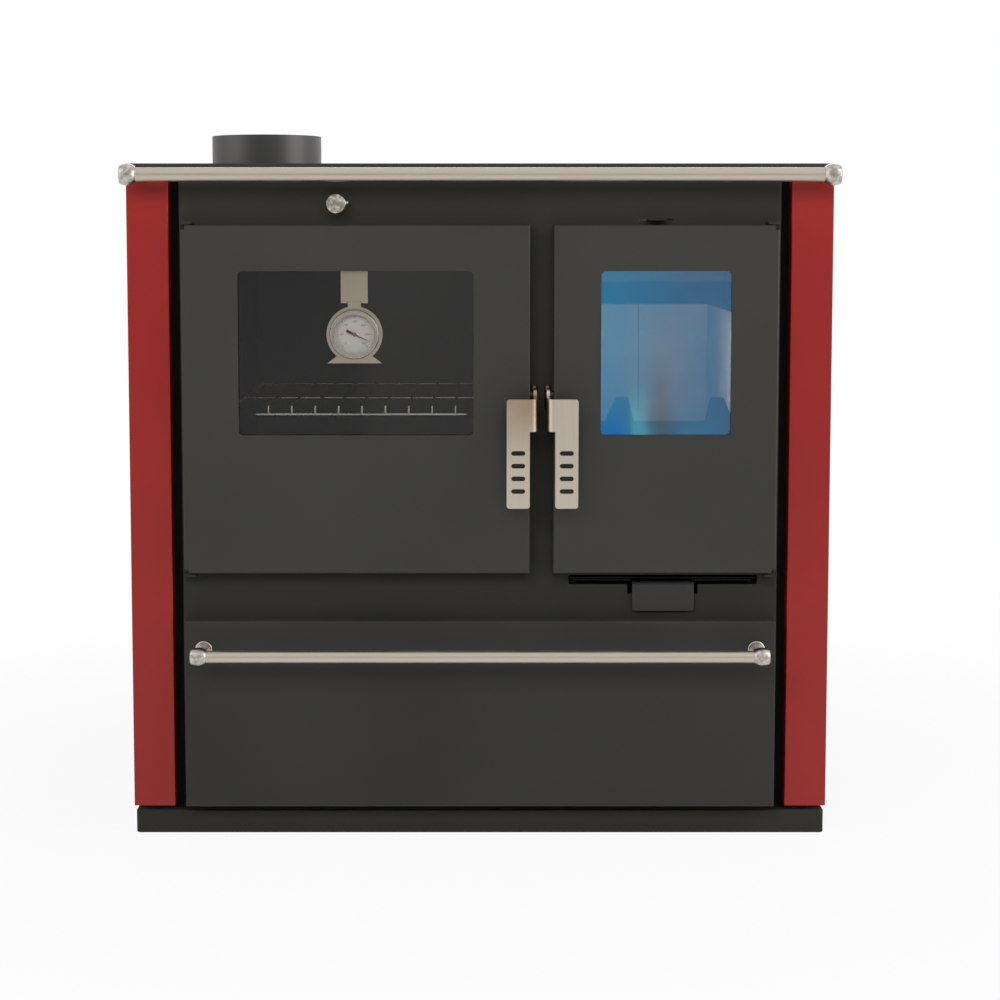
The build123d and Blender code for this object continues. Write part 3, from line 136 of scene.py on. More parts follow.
def new_finish(name):
    """An empty material and the place on the stove that its noises read, in metres."""
    material = bpy.data.materials.new(name)
    material.use_nodes = True
    tree = material.node_tree
    tree.nodes.clear()
    place = tree.nodes.new("ShaderNodeTexCoord")
    return material, Signal(tree, place.outputs["Object"])


def close_finish(material, **inputs):
    """The surface shader of a finish: numbers stay on its own sockets, signals are linked to theirs."""
    tree = material.node_tree
    surface = tree.nodes.new("ShaderNodeBsdfPrincipled")
    for name, value in inputs.items():
        socket = surface.inputs[name.replace("_", " ")]
        if isinstance(value, Signal):
            tree.links.new(value.socket, socket)
        else:
            socket.default_value = value
    out = tree.nodes.new("ShaderNodeOutputMaterial")
    tree.links.new(surface.outputs[0], out.inputs["Surface"])
    return material


def stretched(place, x, y, z):
    return place.node("ShaderNodeMapping", {}, {"Vector": place, "Scale": (x, y, z)})


def grain(place, scale, detail=2.0, rough=0.5):
    return place.node("ShaderNodeTexNoise", {}, {"Vector": place, "Scale": scale, "Detail": detail,
                                                 "Roughness": rough}, "Fac")


def between(signal, low, high, to_low=0.0, to_high=1.0):
    """A soft step: to_low up to low, to_high from high on."""
    return signal.node("ShaderNodeMapRange", {"interpolation_type": "SMOOTHSTEP"},
                       {"Value": signal, "From Min": low, "From Max": high,
                        "To Min": to_low, "To Max": to_high})


def mixed(factor, first, second):
    return factor.node("ShaderNodeMix", {"data_type": "RGBA"}, {0: factor, 6: first, 7: second}, 2)


def bumped(height, depth):
    return height.node("ShaderNodeBump", {}, {"Height": height, "Distance": depth, "Strength": 1.0})


def axis_of(place, axis):
    return place.node("ShaderNodeSeparateXYZ", {}, {"Vector": place}, axis)

print("white is", shade(255, 255, 255)[:3])

# %% [markdown]
# ## Paint
#
# The front is sprayed with a charcoal stove paint that dries slightly sandy. A texture made of a photograph
# would repeat and would fix the light in it. Two noises do better. A fine one only bends the normal, for the
# sandy skin, and a broad one moves colour and gloss by a few percent, as a hand with a spray gun does.

# %% Charcoal paint and its darker kin
def make_paint(name, colour, rough, sand=0.00012, sand_size=1500, drift=0.12, shine=1.45):
    material, place = new_finish(name)
    cloud = grain(place, 3.2, 3)
    fine = grain(place, sand_size, 2, 0.6)
    darker = tuple(v * (1 - drift) for v in colour[:3]) + (1,)
    lighter = tuple(v * (1 + drift) for v in colour[:3]) + (1,)
    tone = mixed(between(cloud, 0.3, 0.7) * 0.8 + fine * 0.2, darker, lighter)
    gloss = rough + (cloud - 0.5) * 0.1 + (fine - 0.5) * 0.06
    return close_finish(material, Base_Color=tone, Roughness=gloss, Normal=bumped(fine, sand), IOR=shine)


paints = {
    "charcoal_paint": (shade(49, 49, 45), 0.6, 0.00012, 1500, 0.12, 1.25),
    "charcoal_door": (shade(47, 47, 44), 0.5),
    "charcoal_drawer": (shade(53, 53, 51), 0.55, 0.00012, 1500, 0.12, 1.28),
    "black_paint": (shade(24, 23, 22), 0.7, 0.0002, 900, 0.2),
    # The casing's black is darker than any paint: painted shade for the groove beside the columns and the gap
    # under the drawer, where the casing, base and guides show.
    "casing_black_and_shade": (shade(9, 9, 8), 0.9, 0.0002, 900, 0.2),
    "flue_paint": (shade(16, 16, 17), 0.42, 0.0001, 700, 0.1, 1.85),
}
finishes = {name: make_paint(name, *recipe) for name, recipe in paints.items()}

# The air slide is painted where it shows. Behind the plate it is near black, a painted shade for the inside of
# its slot.
material, place = new_finish("slide_paint_and_shade")
fine = grain(place, 1500, 2, 0.6)
outside = between(axis_of(place, 1), front_face - 0.003, front_face - 0.001, 1, 0)
tone = mixed(outside, shade(5, 5, 5), shade(38, 38, 36))
finishes["slide_paint_and_shade"] = close_finish(material, Base_Color=tone, Roughness=0.58 + (fine - 0.5) * 0.06,
                                       Normal=bumped(fine, 0.00012))
print("paints", list(finishes))

# %% [markdown]
# ## Red enamel
#
# The two columns are the folded front edges of the side panels, fired with a deep red enamel. One flat red
# under a coat of gloss would look like plastic, because a fired skin always has a faint orange peel. So a
# fine noise bends the normal, a broad one moves the red, and a thin coat gives the enamel's second shine.

# %% Red enamel
material, place = new_finish("red_enamel")
cloud, peel = grain(place, 2.6, 2), grain(place, 420, 1)
tone = mixed(between(cloud, 0.3, 0.7), shade(149, 29, 25), shade(157, 34, 29))
finishes["red_enamel"] = close_finish(material, Base_Color=tone, Roughness=0.36 + (cloud - 0.5) * 0.08,
                                      Normal=bumped(peel, 0.00008), Coat_Weight=0.08, Coat_Roughness=0.25,
                                      IOR=1.42)
print("red enamel is mixed")

# %% [markdown]
# ## Bright metal
#
# The rails and levers are brushed stainless steel, the thermometer's case is polished, and the balls and the
# knob have a mottled skin. Brushing is a noise drawn out about eighty times along the stroke, so one recipe
# serves a rail brushed along its length and a lever brushed upright. Mottled metal gets small blotches
# instead, and a deeper dent.

# %% Brushed and polished steel
def make_brushed(name, stroke, colour, rough, depth=0.00003, coarse=260, end_shade=None):
    material, place = new_finish(name)
    along = 0.012
    across = {"x": (along, 1, 1), "y": (1, along, 1), "z": (1, 1, along)}[stroke]
    lines = grain(stretched(place, *(coarse * v for v in across)), 6.0, 4, 0.65)
    smudge = grain(place, 14, 3)
    tone = mixed(lines, tuple(v * 0.82 for v in colour[:3]) + (1,), colour)
    if end_shade:
        # The upper end of the oven door's lever is painted darker and warmer: a painted shade below its pivot.
        side, up = axis_of(place, 0), axis_of(place, 2)
        shaded_end = between(up, 0.47, 0.57) * between(side, 0.07, 0.08, 1, 0) * between(side, 0.0, 0.02)
        tone = mixed(shaded_end * between(smudge, 0.25, 0.65, 0.55, 1.0), tone, end_shade)
    gloss = rough + (lines - 0.5) * 0.22 + between(smudge, 0.45, 0.75) * 0.08
    return close_finish(material, Base_Color=tone, Metallic=1.0, Roughness=gloss,
                        Normal=bumped(lines, depth))


brushed = {
    "stainless": ("z", shade(216, 205, 189), 0.34, 0.00003, 260, shade(168, 146, 120)),
    "stainless_along": ("x", shade(203, 195, 181), 0.4),
    "polished_steel": ("z", shade(206, 199, 188), 0.24, 0.00001, 90),
    "bezel_steel": ("z", shade(196, 190, 178), 0.22, 0.000002, 40),
    "pivot_steel": ("x", shade(84, 72, 62), 0.45, 0.00001, 200),
    "zinc_steel": ("x", shade(178, 178, 172), 0.4, 0.00002, 90),
    "cooktop_steel": ("x", shade(84, 84, 82), 0.42, 0.00003, 120),
    "chromed_wire": ("y", shade(196, 190, 180), 0.22, 0.000006, 80),
    "bright_stainless": ("z", shade(212, 199, 180), 0.36),
}
for name, recipe in brushed.items():
    finishes[name] = make_brushed(name, *recipe)

mottled = {
    "knob_steel": (shade(146, 139, 133), shade(214, 207, 199), 0.26, 0.0003),
    "ball_steel": (shade(160, 155, 149), shade(204, 199, 191), 0.3, 0.0001),
}
for name, (dark, bright, rough, dents) in mottled.items():
    material, place = new_finish(name)
    blotch, fine = grain(place, 190, 3, 0.7), grain(place, 900, 2)
    tone = mixed(between(blotch, 0.35, 0.65), dark, bright)
    finishes[name] = close_finish(material, Base_Color=tone, Metallic=1.0,
                                  Roughness=rough + (fine - 0.5) * 0.1,
                                  Normal=bumped(blotch * 0.7 + fine * 0.3, dents))
print("bright metals", [n for n in finishes if "steel" in n or "stainless" in n])

# %% [markdown]
# ## Galvanised sheet
#
# The rear panel, the drawer box and the ash pan are zinc-coated sheet. Zinc freezes in flat crystals, each
# with a tone of its own and straight borders, which is called spangle. A noise would blur them, and Voronoi
# cells have just that look, so one channel of their random colours sets tone and gloss.

# %% Galvanised sheet
flakes_per_metre = 110.0
material, place = new_finish("galvanised")
flakes = place.node("ShaderNodeTexVoronoi", {"feature": "F1"},
                    {"Vector": place, "Scale": flakes_per_metre}, "Color")
flake = flakes.node("ShaderNodeSeparateColor", {}, {0: flakes}, 0)
tone = mixed(flake, shade(150, 155, 157), shade(176, 180, 180))
finishes["galvanised"] = close_finish(material, Base_Color=tone, Metallic=0.9, Roughness=0.36 + flake * 0.16)
print("galvanised sheet has a spangle of", round(1000 / flakes_per_metre), "mm")

# %% [markdown]
# ## Iron, brick, enamel
#
# The lid, ring, grate and log guard are castings, with the skin of the sand they were poured in. The oven is
# enamelled dark with pale flecks. The firebox is lined with sandy bricks that the fire has sooted from below,
# and its steel above them is sooted up to a line and only dusty over it.

# %% Cast iron, oven enamel, firebrick
material, place = new_finish("cast_iron")
sand, lump = grain(place, 900, 3, 0.7), grain(place, 40, 3)
tone = mixed(lump, shade(52, 52, 52), shade(72, 71, 70))
finishes["cast_iron"] = close_finish(material, Base_Color=tone, Roughness=0.6 + (sand - 0.5) * 0.2,
                                     Metallic=0.25, Normal=bumped(sand * 0.7 + lump * 0.3, 0.0006))

material, place = new_finish("oven_enamel")
fleck = place.node("ShaderNodeTexVoronoi", {"feature": "F1"}, {"Vector": place, "Scale": 260.0}, "Distance")
speck = between(fleck, 0.1, 0.16, 1, 0) * between(grain(place, 120, 1), 0.5, 0.62)
tone = mixed(speck, shade(25, 25, 26), shade(52, 52, 54))
finishes["oven_enamel"] = close_finish(material, Base_Color=tone, Roughness=0.42 + grain(place, 30) * 0.06)

material, place = new_finish("firebrick")
sand, blotch = grain(place, 700, 4, 0.7), grain(place, 16, 4)
soot = between(axis_of(place, 2) + (blotch - 0.5) * 0.12, 0.48, 0.62, 1, 0.1)
clay = mixed(sand * 0.5 + blotch * 0.5, shade(206, 190, 164), shade(236, 224, 202))
tone = mixed(soot * 0.45, clay, shade(92, 80, 70))
finishes["firebrick"] = close_finish(material, Base_Color=tone, Roughness=0.92,
                                     Normal=bumped(sand * 0.6 + blotch * 0.4, 0.0012))

material, place = new_finish("sooted_steel")
sand, blotch = grain(place, 700, 3, 0.7), grain(place, 14, 4)
above_soot = between(axis_of(place, 2) + (blotch - 0.5) * 0.01, 0.690, 0.696)
sooty = mixed(blotch, shade(22, 21, 20), shade(40, 38, 36))
dusty = mixed(blotch, shade(120, 114, 104), shade(150, 142, 130))
tone = mixed(above_soot, sooty, dusty)
finishes["sooted_steel"] = close_finish(material, Base_Color=tone, Roughness=0.85, Normal=bumped(sand, 0.0005))
print("iron, enamel, brick and sooted steel are mixed")

# %% [markdown]
# ## Glass, dial and rope
#
# Both panes are flat glass-ceramic. The oven's is plain and looks dark because the oven behind it is; the
# fire's has a coat that throws heat back, which shows as blue. On that blue are painted reflections: it is
# lighter on one side and deeper in a band low on the left, with a brown cloud and a pale streak. Real
# refraction would keep the studio lamps out of the oven, so the panes are thin films instead: partly clear,
# with the gloss of glass.

# %% Glass, dial, pointer, rope
for name, solid, gloss in (("clear_glass", 0.12, 2.9), ("watch_glass", 0.05, 2.0)):
    material, place = new_finish(name)
    finishes[name] = close_finish(material, Base_Color=shade(8, 8, 8), Roughness=0.02, Alpha=solid, IOR=gloss)

material, place = new_finish("blue_glass")
# The coat's colour is painted, not lit: the lighter side, the deeper blue band low on the left, the brown cloud
# and the pale streak are painted reflections.
haze = between(grain(stretched(place, 9, 1, 3.4), 1.0, 3), 0.3, 0.7)
across, up = axis_of(place, 0), axis_of(place, 2)
side = between(across + (haze - 0.5) * 0.06, 0.15, 0.31)
tone = mixed(side, (0.09, 0.44, 0.80, 1), (0.13, 0.34, 0.62, 1))
low = between(up + (haze - 0.5) * 0.05, 0.53, 0.60, 1, 0)
wave = (haze - 0.5) * 0.02
wavy = across + wave
pale_painted_reflection = between(wavy, 0.180, 0.196) * between(wavy, 0.204, 0.228, 1, 0) * low
brown_painted_reflection = between(wavy, 0.205, 0.226) * between(wavy, 0.232, 0.256, 1, 0) * between(up, 0.50, 0.66, 1, 0)
deep_painted_reflection = between(up, 0.505, 0.555, 1, 0) * between(across, 0.17, 0.19, 1, 0)
tone = mixed(brown_painted_reflection * 0.55, tone, (0.20, 0.20, 0.22, 1))
tone = mixed(deep_painted_reflection * 0.7, tone, (0.01, 0.30, 1.0, 1))
tone = mixed(pale_painted_reflection * 0.75, tone, (0.22, 0.80, 1.0, 1))
finishes["blue_glass"] = close_finish(material, Base_Color=tone, Metallic=1.0, Roughness=0.1,
                                      Alpha=0.48 - (haze - 0.5) * 0.12)

for name, colour in (("white_dial", shade(243, 240, 234)), ("pointer_paint", shade(130, 40, 36)),
                     ("dial_ink", shade(92, 80, 78))):
    material, place = new_finish(name)
    finishes[name] = close_finish(material, Base_Color=colour, Roughness=0.5 + grain(place, 300) * 0.1)

material, place = new_finish("rope")
weave = grain(place, 500, 2)
finishes["rope"] = close_finish(material, Base_Color=mixed(weave, shade(60, 58, 54), shade(112, 108, 100)),
                                Roughness=0.9, Normal=bumped(weave, 0.0006))
print(len(finishes), "finishes")

# %% [markdown]
# ## Who wears what
#
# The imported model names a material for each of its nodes, and most finishes carry that name. Some surfaces of
# one material still differ on the stove: the rails are brushed lengthways and the levers upright, and the
# doors are a shade off the plate behind them. A short list gives those nodes a finish of their own.

# %% Every node takes its finish
special = {
    "stainless_along": ("top_rail", "drawer_rail"),
    "charcoal_door": ("oven_door_skin", "fire_door_skin"),
    "charcoal_drawer": ("drawer_front",),
    # These three show only in gaps, so their near black is painted shade.
    "casing_black_and_shade": ("casing_sides", "base_panel", "drawer_guides"),
    "ball_steel": ("top_rail_ends", "drawer_rail_ends"),
    "sooted_steel": ("firebox_casing",),
    "watch_glass": ("thermometer_glass",),
    "pivot_steel": ("oven_handle_pivot", "fire_handle_pivot"),
    "flue_paint": ("flue_collar",),
    "bright_stainless": ("thermometer_strap", "thermometer_stand"),
    # The air slide's end behind the plate is painted near black, as the shade inside its slot.
    "slide_paint_and_shade": ("air_slide",),
}
finish_of = dict(slot_of)
for finish, members in special.items():
    for node in members:
        finish_of[node] = finish
for name, node in nodes.items():
    node.data.materials.clear()
    node.data.materials.append(finishes[finish_of[name]])
print(sorted(set(finish_of.values())))

# %% [markdown]
# ## Edges that were really folded, cut and cast
#
# A solid from CAD has edges of no width at all. On the stove each edge is something: a laser-cut sheet is
# deburred, a fold has a radius, a casting is ground. A Bevel modifier on the CAD mesh would trip over its
# thousands of loose triangles, so a copy is merged, its flat faces are joined again, and only the edges that
# really turn are rounded. Normals weighted by area then keep the broad faces flat.

# %% Soften a copy of a node
made = []


def finish_piece(name, mesh, finish, node=None, body=None):
    """Put a mesh in the scene with its finish, for a node or on a body of its own choice."""
    piece = bpy.data.objects.new(name, mesh)
    bpy.context.scene.collection.objects.link(piece)
    mesh.materials.clear()
    mesh.materials.append(finishes[finish])
    if node:
        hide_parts(node)
    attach(piece, body or body_of[node])
    made.append(piece)
    return piece


def weighted(mesh):
    """The mesh with normals that lean towards its larger faces."""
    mesh.shade_smooth()
    helper = bpy.data.objects.new("helper", mesh)
    bpy.context.scene.collection.objects.link(helper)
    lean = helper.modifiers.new("lean", "WEIGHTED_NORMAL")
    lean.keep_sharp, lean.weight = True, 60
    seen_by = helper.evaluated_get(bpy.context.evaluated_depsgraph_get())
    plain = bpy.data.meshes.new_from_object(seen_by)
    bpy.data.objects.remove(helper)
    return plain


def softened(node, width, segments=2, turn=25):
    """A copy of a node's mesh, with each edge that turns by more than turn degrees rounded to width metres."""
    work = bmesh.new()
    work.from_mesh(nodes[node].data)
    bmesh.ops.remove_doubles(work, verts=work.verts, dist=1e-6)
    bmesh.ops.dissolve_limit(work, angle_limit=math.radians(0.5), verts=work.verts, edges=work.edges)
    edges = [e for e in work.edges if e.is_manifold and e.calc_face_angle(0) > math.radians(turn)]
    bmesh.ops.bevel(work, geom=edges, offset=width, segments=segments, profile=0.5, affect="EDGES",
                    clamp_overlap=True)
    bmesh.ops.triangulate(work, faces=work.faces)
    mesh = bpy.data.meshes.new("soft_" + node)
    work.to_mesh(mesh)
    work.free()
    return weighted(mesh)


soft_widths = {
    "oven_door_skin": 1.4, "fire_door_skin": 1.4, "drawer_front": 1.3, "front_plate": 0.7,
    "side_panel_left": 0.6, "side_panel_right": 0.6, "plinth": 0.7, "cooktop": 1.2,
    "oven_handle": 0.7, "fire_handle": 0.7, "air_slide": 0.5, "air_shutter": 0.5, "log_guard": 1.0,
    "grate": 1.0, "hob_ring": 0.9, "hob_lid": 0.9, "flue_collar": 0.8, "rear_panel": 0.3,
    "ash_pan": 0.5, "latch_keeper": 0.6, "thermometer_strap": 0.4, "thermometer_stand": 0.3, "firebricks": 0.4,
}
for node, width in soft_widths.items():
    finish_piece("soft_" + node, softened(node, width / 1000), finish_of[node], node)
print(len(made), "softened pieces")

# %% [markdown]
# ## A kit for things that repeat
#
# Screws, weld beads, the ticks of a dial and the strands of a rope all repeat. Copying them with a loop works,
# but Geometry Nodes say the rule once and keep its sizes as named inputs. Each tree below ends in real
# geometry with its material set, and the result is kept as a plain mesh, so nothing depends on the modifier
# afterwards.

# %% Build a tree, run it, keep the mesh
def plan(name, **sizes):
    """A Geometry Nodes tree with named inputs, and each input as a Signal."""
    tree = bpy.data.node_groups.new(name, "GeometryNodeTree")
    tree.interface.new_socket("Geometry", in_out="OUTPUT", socket_type="NodeSocketGeometry")
    tree.interface.new_socket("Geometry", in_out="INPUT", socket_type="NodeSocketGeometry")
    for size, value in sizes.items():
        kind = {int: "NodeSocketInt", float: "NodeSocketFloat"}.get(type(value), "NodeSocketObject")
        socket = tree.interface.new_socket(size, in_out="INPUT", socket_type=kind)
        if kind != "NodeSocketObject":
            socket.default_value = value
    start = tree.nodes.new("NodeGroupInput")
    return tree, {socket.name: Signal(tree, socket) for socket in start.outputs if socket.name}


def end_plan(tree, geometry, finish):
    """Make the copies real, coat them, and lead them out of the tree."""
    real = geometry.node("GeometryNodeRealizeInstances", {}, {"Geometry": geometry})
    coated = real.node("GeometryNodeSetMaterial", {}, {"Geometry": real, "Material": finishes[finish]})
    tree.links.new(coated.socket, tree.nodes.new("NodeGroupOutput").inputs[0])


def grown(tree, seeds, **sizes):
    """The mesh that a tree makes of a seed mesh."""
    holder = bpy.data.objects.new("seeds", seeds)
    bpy.context.scene.collection.objects.link(holder)
    modifier = holder.modifiers.new("grow", "NODES")
    modifier.node_group = tree
    for item in tree.interface.items_tree:
        if item.in_out == "INPUT" and item.name in sizes:
            modifier[item.identifier] = sizes[item.name]
    seen_by = holder.evaluated_get(bpy.context.evaluated_depsgraph_get())
    mesh = bpy.data.meshes.new_from_object(seen_by)
    bpy.data.objects.remove(holder)
    return mesh

print("the kit is ready")

# %% [markdown]
# ## Turned parts
#
# The knob, the thermometer's case and the screw heads are turned or pressed round. A primitive with a bevel
# would give one roll and no rings, so a short helper sweeps a profile of radius and depth about an axis, as a
# lathe does. It can also be told to lean towards one side, which the knob needs, or to draw a ring out
# to a hexagon, which a screw's socket needs.

# %% Sweep a profile about an axis
def turned(name, profile, centre, segments=64, shape=None):
    """Sweep (radius, depth) points, in mm, about Y through centre. Depth grows away from the viewer."""
    work = bmesh.new()
    rings = []
    for row, (radius, depth) in enumerate(profile):
        if radius == 0:
            rings.append([work.verts.new((centre[0], front_face + depth / 1000, centre[1]))])
            continue
        ring = []
        for step in range(segments):
            angle = 2 * math.pi * step / segments
            reach = (shape(row, radius, angle) if shape else radius) / 1000
            ring.append(work.verts.new((centre[0] + reach * math.cos(angle), front_face + depth / 1000,
                                        centre[1] + reach * math.sin(angle))))
        rings.append(ring)
    for first, second in zip(rings, rings[1:]):
        for step in range(segments):
            after = (step + 1) % segments
            corners = [first[step % len(first)], first[after % len(first)],
                       second[after % len(second)], second[step % len(second)]]
            corners = list(dict.fromkeys(corners))
            if len(corners) > 2:
                work.faces.new(corners)
    bmesh.ops.recalc_face_normals(work, faces=work.faces)
    mesh = bpy.data.meshes.new(name)
    work.to_mesh(mesh)
    work.free()
    return weighted(mesh)


def middle_of(node):
    low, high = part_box(node)
    return (low + high) / 2

print("front face of the plate at", round(front_face, 4))

# %% [markdown]
# ## Screws
#
# Self-tapping screws hold the rear panel, and four more hold the flue collar. Each is a low pan head with a
# hexagon socket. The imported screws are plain, so only their places and directions are read from them: each
# separate solid of the node is one screw, and it faces up on the cooktop and back on the rear panel.

# %% Where the screws are
def islands(node):
    """The lowest and highest corners of each separate solid of a node."""
    work = bmesh.new()
    work.from_mesh(nodes[node].data)
    bmesh.ops.remove_doubles(work, verts=work.verts, dist=1e-6)
    left, found = set(work.verts), []
    while left:
        heap = [left.pop()]
        group = list(heap)
        while heap:
            for edge in heap.pop().link_edges:
                for vert in edge.verts:
                    if vert in left:
                        left.discard(vert)
                        heap.append(vert)
                        group.append(vert)
        found.append(tuple(Vector(pick(v.co[i] for v in group) for i in range(3)) for pick in (min, max)))
    work.free()
    return sorted(found, key=lambda corners: tuple(round(v, 4) for v in corners[0]))


def seeds_of(name, places):
    """Loose points with the direction that each copy faces."""
    mesh = bpy.data.meshes.new(name)
    mesh.from_pydata([tuple(place) for place, _ in places], [], [])
    facing = mesh.attributes.new("facing", "FLOAT_VECTOR", "POINT")
    for number, (_, direction) in enumerate(places):
        facing.data[number].vector = direction
    return mesh


collar_screws_above = 0.83
seat_below_top, seat_before_back = 0.0022, 0.0024
screw_places = []
for low, high in islands("body_screws"):
    middle = (low + high) / 2
    if low.z > collar_screws_above:
        screw_places.append((Vector((middle.x, middle.y, high.z - seat_below_top)), (0, 0, 1)))
    else:
        screw_places.append((Vector((middle.x, high.y - seat_before_back, middle.z)), (0, 1, 0)))
print(len(screw_places), "screws")

# %% [markdown]
# ## One rule for many copies
#
# Screws, beads and ticks are all set in the same way: a copy on each place, turned to face the right way. A
# loop could do it, but the tree does it in one step and can be used for all three. Each place carries its
# direction, and a random turn about it leaves each screw's socket as a screwdriver would. The seed is fixed, so
# every run gives the same stove.

# %% A tree that sets copies on places
def plan_scatter(name, finish, turn=0.0):
    tree, size = plan(name, Copy=None, Size=1.0, Turn=turn, Seed=3)
    facing = size["Size"].node("GeometryNodeInputNamedAttribute", {"data_type": "FLOAT_VECTOR"},
                               {"Name": "facing"})
    upright = facing.node("FunctionNodeAlignRotationToVector", {"axis": "Z"}, {"Vector": facing})
    chance = facing.node("FunctionNodeRandomValue", {"data_type": "FLOAT"},
                         {"Max": size["Turn"], "Seed": size["Seed"]}, 1)
    spin = chance.node("FunctionNodeAxisAngleToRotation", {}, {"Axis": (0, 0, 1), "Angle": chance})
    both = spin.node("FunctionNodeRotateRotation", {"rotation_space": "LOCAL"},
                     {"Rotation": upright, "Rotate By": spin})
    copy = size["Copy"].node("GeometryNodeObjectInfo", {}, {"Object": size["Copy"]}, "Geometry")
    placed = both.node("GeometryNodeInstanceOnPoints", {}, {"Points": size["Geometry"], "Instance": copy,
                                                           "Rotation": both, "Scale": size["Size"]})
    end_plan(tree, placed, finish)
    return tree


def scattered(name, finish, places, copy, turn=0.0):
    """One mesh with the copy on every place, each at a random angle of up to turn."""
    tree = plan_scatter(name + "_tree", finish, turn)
    pattern = bpy.data.objects.new(name + "_copy", copy)
    mesh = grown(tree, seeds_of(name + "_seeds", places), Copy=pattern, Turn=turn)
    bpy.data.objects.remove(pattern)
    return mesh


head = [(0, 7), (2, 7), (2, 0), (4.5, 0), (4.5, -1.3), (4.1, -1.9), (2.9, -2.25),
        (1.9, -2.2), (1.9, -1.0), (0, -0.9)]
socket_rows = (7, 8)


def hexagon(row, radius, angle):
    """Draw the two rings of the socket out to six corners."""
    if row not in socket_rows:
        return radius
    return radius / math.cos((angle + math.pi / 6) % (math.pi / 3) - math.pi / 6)


def stood_up(mesh):
    """Turn a piece that was swept about Y, facing the viewer, so that it faces up from the origin."""
    mesh.transform(Matrix.Rotation(-math.pi / 2, 4, "X") @ Matrix.Translation((0, -front_face, 0)))
    return mesh


full_turn = 6.28
screw_head = stood_up(turned("screw_head", head, (0, 0), 18, hexagon))
finish_piece("screws", scattered("screws", "zinc_steel", screw_places, screw_head, full_turn),
             "zinc_steel", "body_screws")
print("screws:", len(made[-1].data.polygons), "faces")

# %% [markdown]
# ## Weld beads on the oven rack
#
# The rack is wire, spot-welded where its wires cross its rods, and each weld leaves a small bright swelling.
# They could be modelled with the wires, but the same tree sets them in one step. Through the oven
# glass they catch the light as a row of points, which is most of what the eye sees of the rack.

# %% Beads where the wires cross
rack_low, rack_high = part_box("oven_rack")
wires, wire_pitch, wires_aside = 9, 0.03, 0.0015
rod_radius, rod_under_top, middle_rod = 0.0025, 0.005, 0.385
on_bar, on_rod = 0.0012, 0.0014
near, rear = rack_low.y + rod_radius, rack_high.y - rod_under_top
rod_z, bar_z = rack_high.z - rod_under_top, rack_low.z + rod_radius
crossings = ((near, bar_z + on_bar), (near + (rear - near) * middle_rod, rod_z + on_rod),
             (rear, rod_z + on_rod))
weld_places = []
for number in range(wires):
    x = (rack_low.x + rack_high.x) / 2 + wires_aside + (number - wires // 2) * wire_pitch
    for y, z in crossings:
        weld_places.append((Vector((x, y, z)), (0, 0, 1)))
bead_profile = [(0, 1.4), (1.5, 1.1), (2.6, 0.4), (2.9, 0), (2.6, -0.9), (1.6, -1.8), (0, -2.1)]
bead = stood_up(turned("bead", bead_profile, (0, 0), 8))
finish_piece("rack_welds", scattered("rack_welds", "chromed_wire", weld_places, bead), "chromed_wire",
             body="rack")
print(len(weld_places), "weld beads")

# %% [markdown]
# ## Seal ropes
#
# A glass-fibre rope runs round the back of each door and is squeezed against the front plate. A tube with a
# twisted bump would look laid only from afar, so the four strands are real. The tree copies the middle line
# once for each strand, and moves every copy round that line as it goes along, as a ropewalk does. The
# number of turns is rounded to a whole one, so that the strands meet at the joint.

# %% The tree that lays a rope
tree, size = plan("laid_rope", Thickness=0.009, Lay=0.017, Corner=0.0075, Strands=4)
# Four round strands that touch fill a circle 2.414 times as wide as one of them.
strand = size["Thickness"] * 0.5 / 2.414
reach = size["Thickness"] * 0.5 - strand
line = strand.node("GeometryNodeMeshToCurve", {}, {"Mesh": size["Geometry"]})
line = line.node("GeometryNodeFilletCurve", {"mode": "POLY"},
                 {"Curve": line, "Count": 8, "Radius": size["Corner"]})
length = line.node("GeometryNodeCurveLength", {}, {"Curve": line})
turns = length.node("ShaderNodeMath", {"operation": "ROUND"}, {0: length / size["Lay"]})
line = line.node("GeometryNodeResampleCurve", {"mode": "COUNT"}, {"Curve": line, "Count": turns * 12})
copies = line.node("GeometryNodeDuplicateElements", {"domain": "SPLINE"},
                   {"Geometry": line, "Amount": size["Strands"]})
number = Signal(tree, copies.socket.node.outputs["Duplicate Index"])
along = line.node("GeometryNodeSplineParameter", {}, {})
tangent = line.node("GeometryNodeInputTangent", {}, {})
aside = tangent.node("ShaderNodeVectorMath", {"operation": "CROSS_PRODUCT"}, {0: tangent, 1: (0, 1, 0)})
angle = (along * turns + number / size["Strands"]) * (2 * math.pi)
across = angle.node("ShaderNodeMath", {"operation": "COSINE"}, {0: angle}) * reach
outward = angle.node("ShaderNodeMath", {"operation": "SINE"}, {0: angle}) * reach
shift = aside.node("ShaderNodeVectorMath", {"operation": "SCALE"}, {0: aside, "Scale": across})
shift = shift.node("ShaderNodeVectorMath", {"operation": "ADD"},
                   {0: shift, 1: outward.node("ShaderNodeCombineXYZ", {}, {"Y": outward})})
strands = copies.node("GeometryNodeSetPosition", {}, {"Geometry": copies, "Offset": shift})
ring = strand.node("GeometryNodeCurvePrimitiveCircle", {}, {"Resolution": 7, "Radius": strand})
body = strands.node("GeometryNodeCurveToMesh", {}, {"Curve": strands, "Profile Curve": ring})
body = body.node("GeometryNodeSetShadeSmooth", {}, {"Geometry": body})
end_plan(tree, body, "rope")
print("the tree lays a rope of four strands")

# %% [markdown]
# ## Round the doors
#
# Each rope lies in a frame on the back of its door. Its course could be drawn as a curve, but four points and
# the four edges between them are enough, because the tree rounds the corners. The points are read from
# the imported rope's box, half a thickness in from its sides.

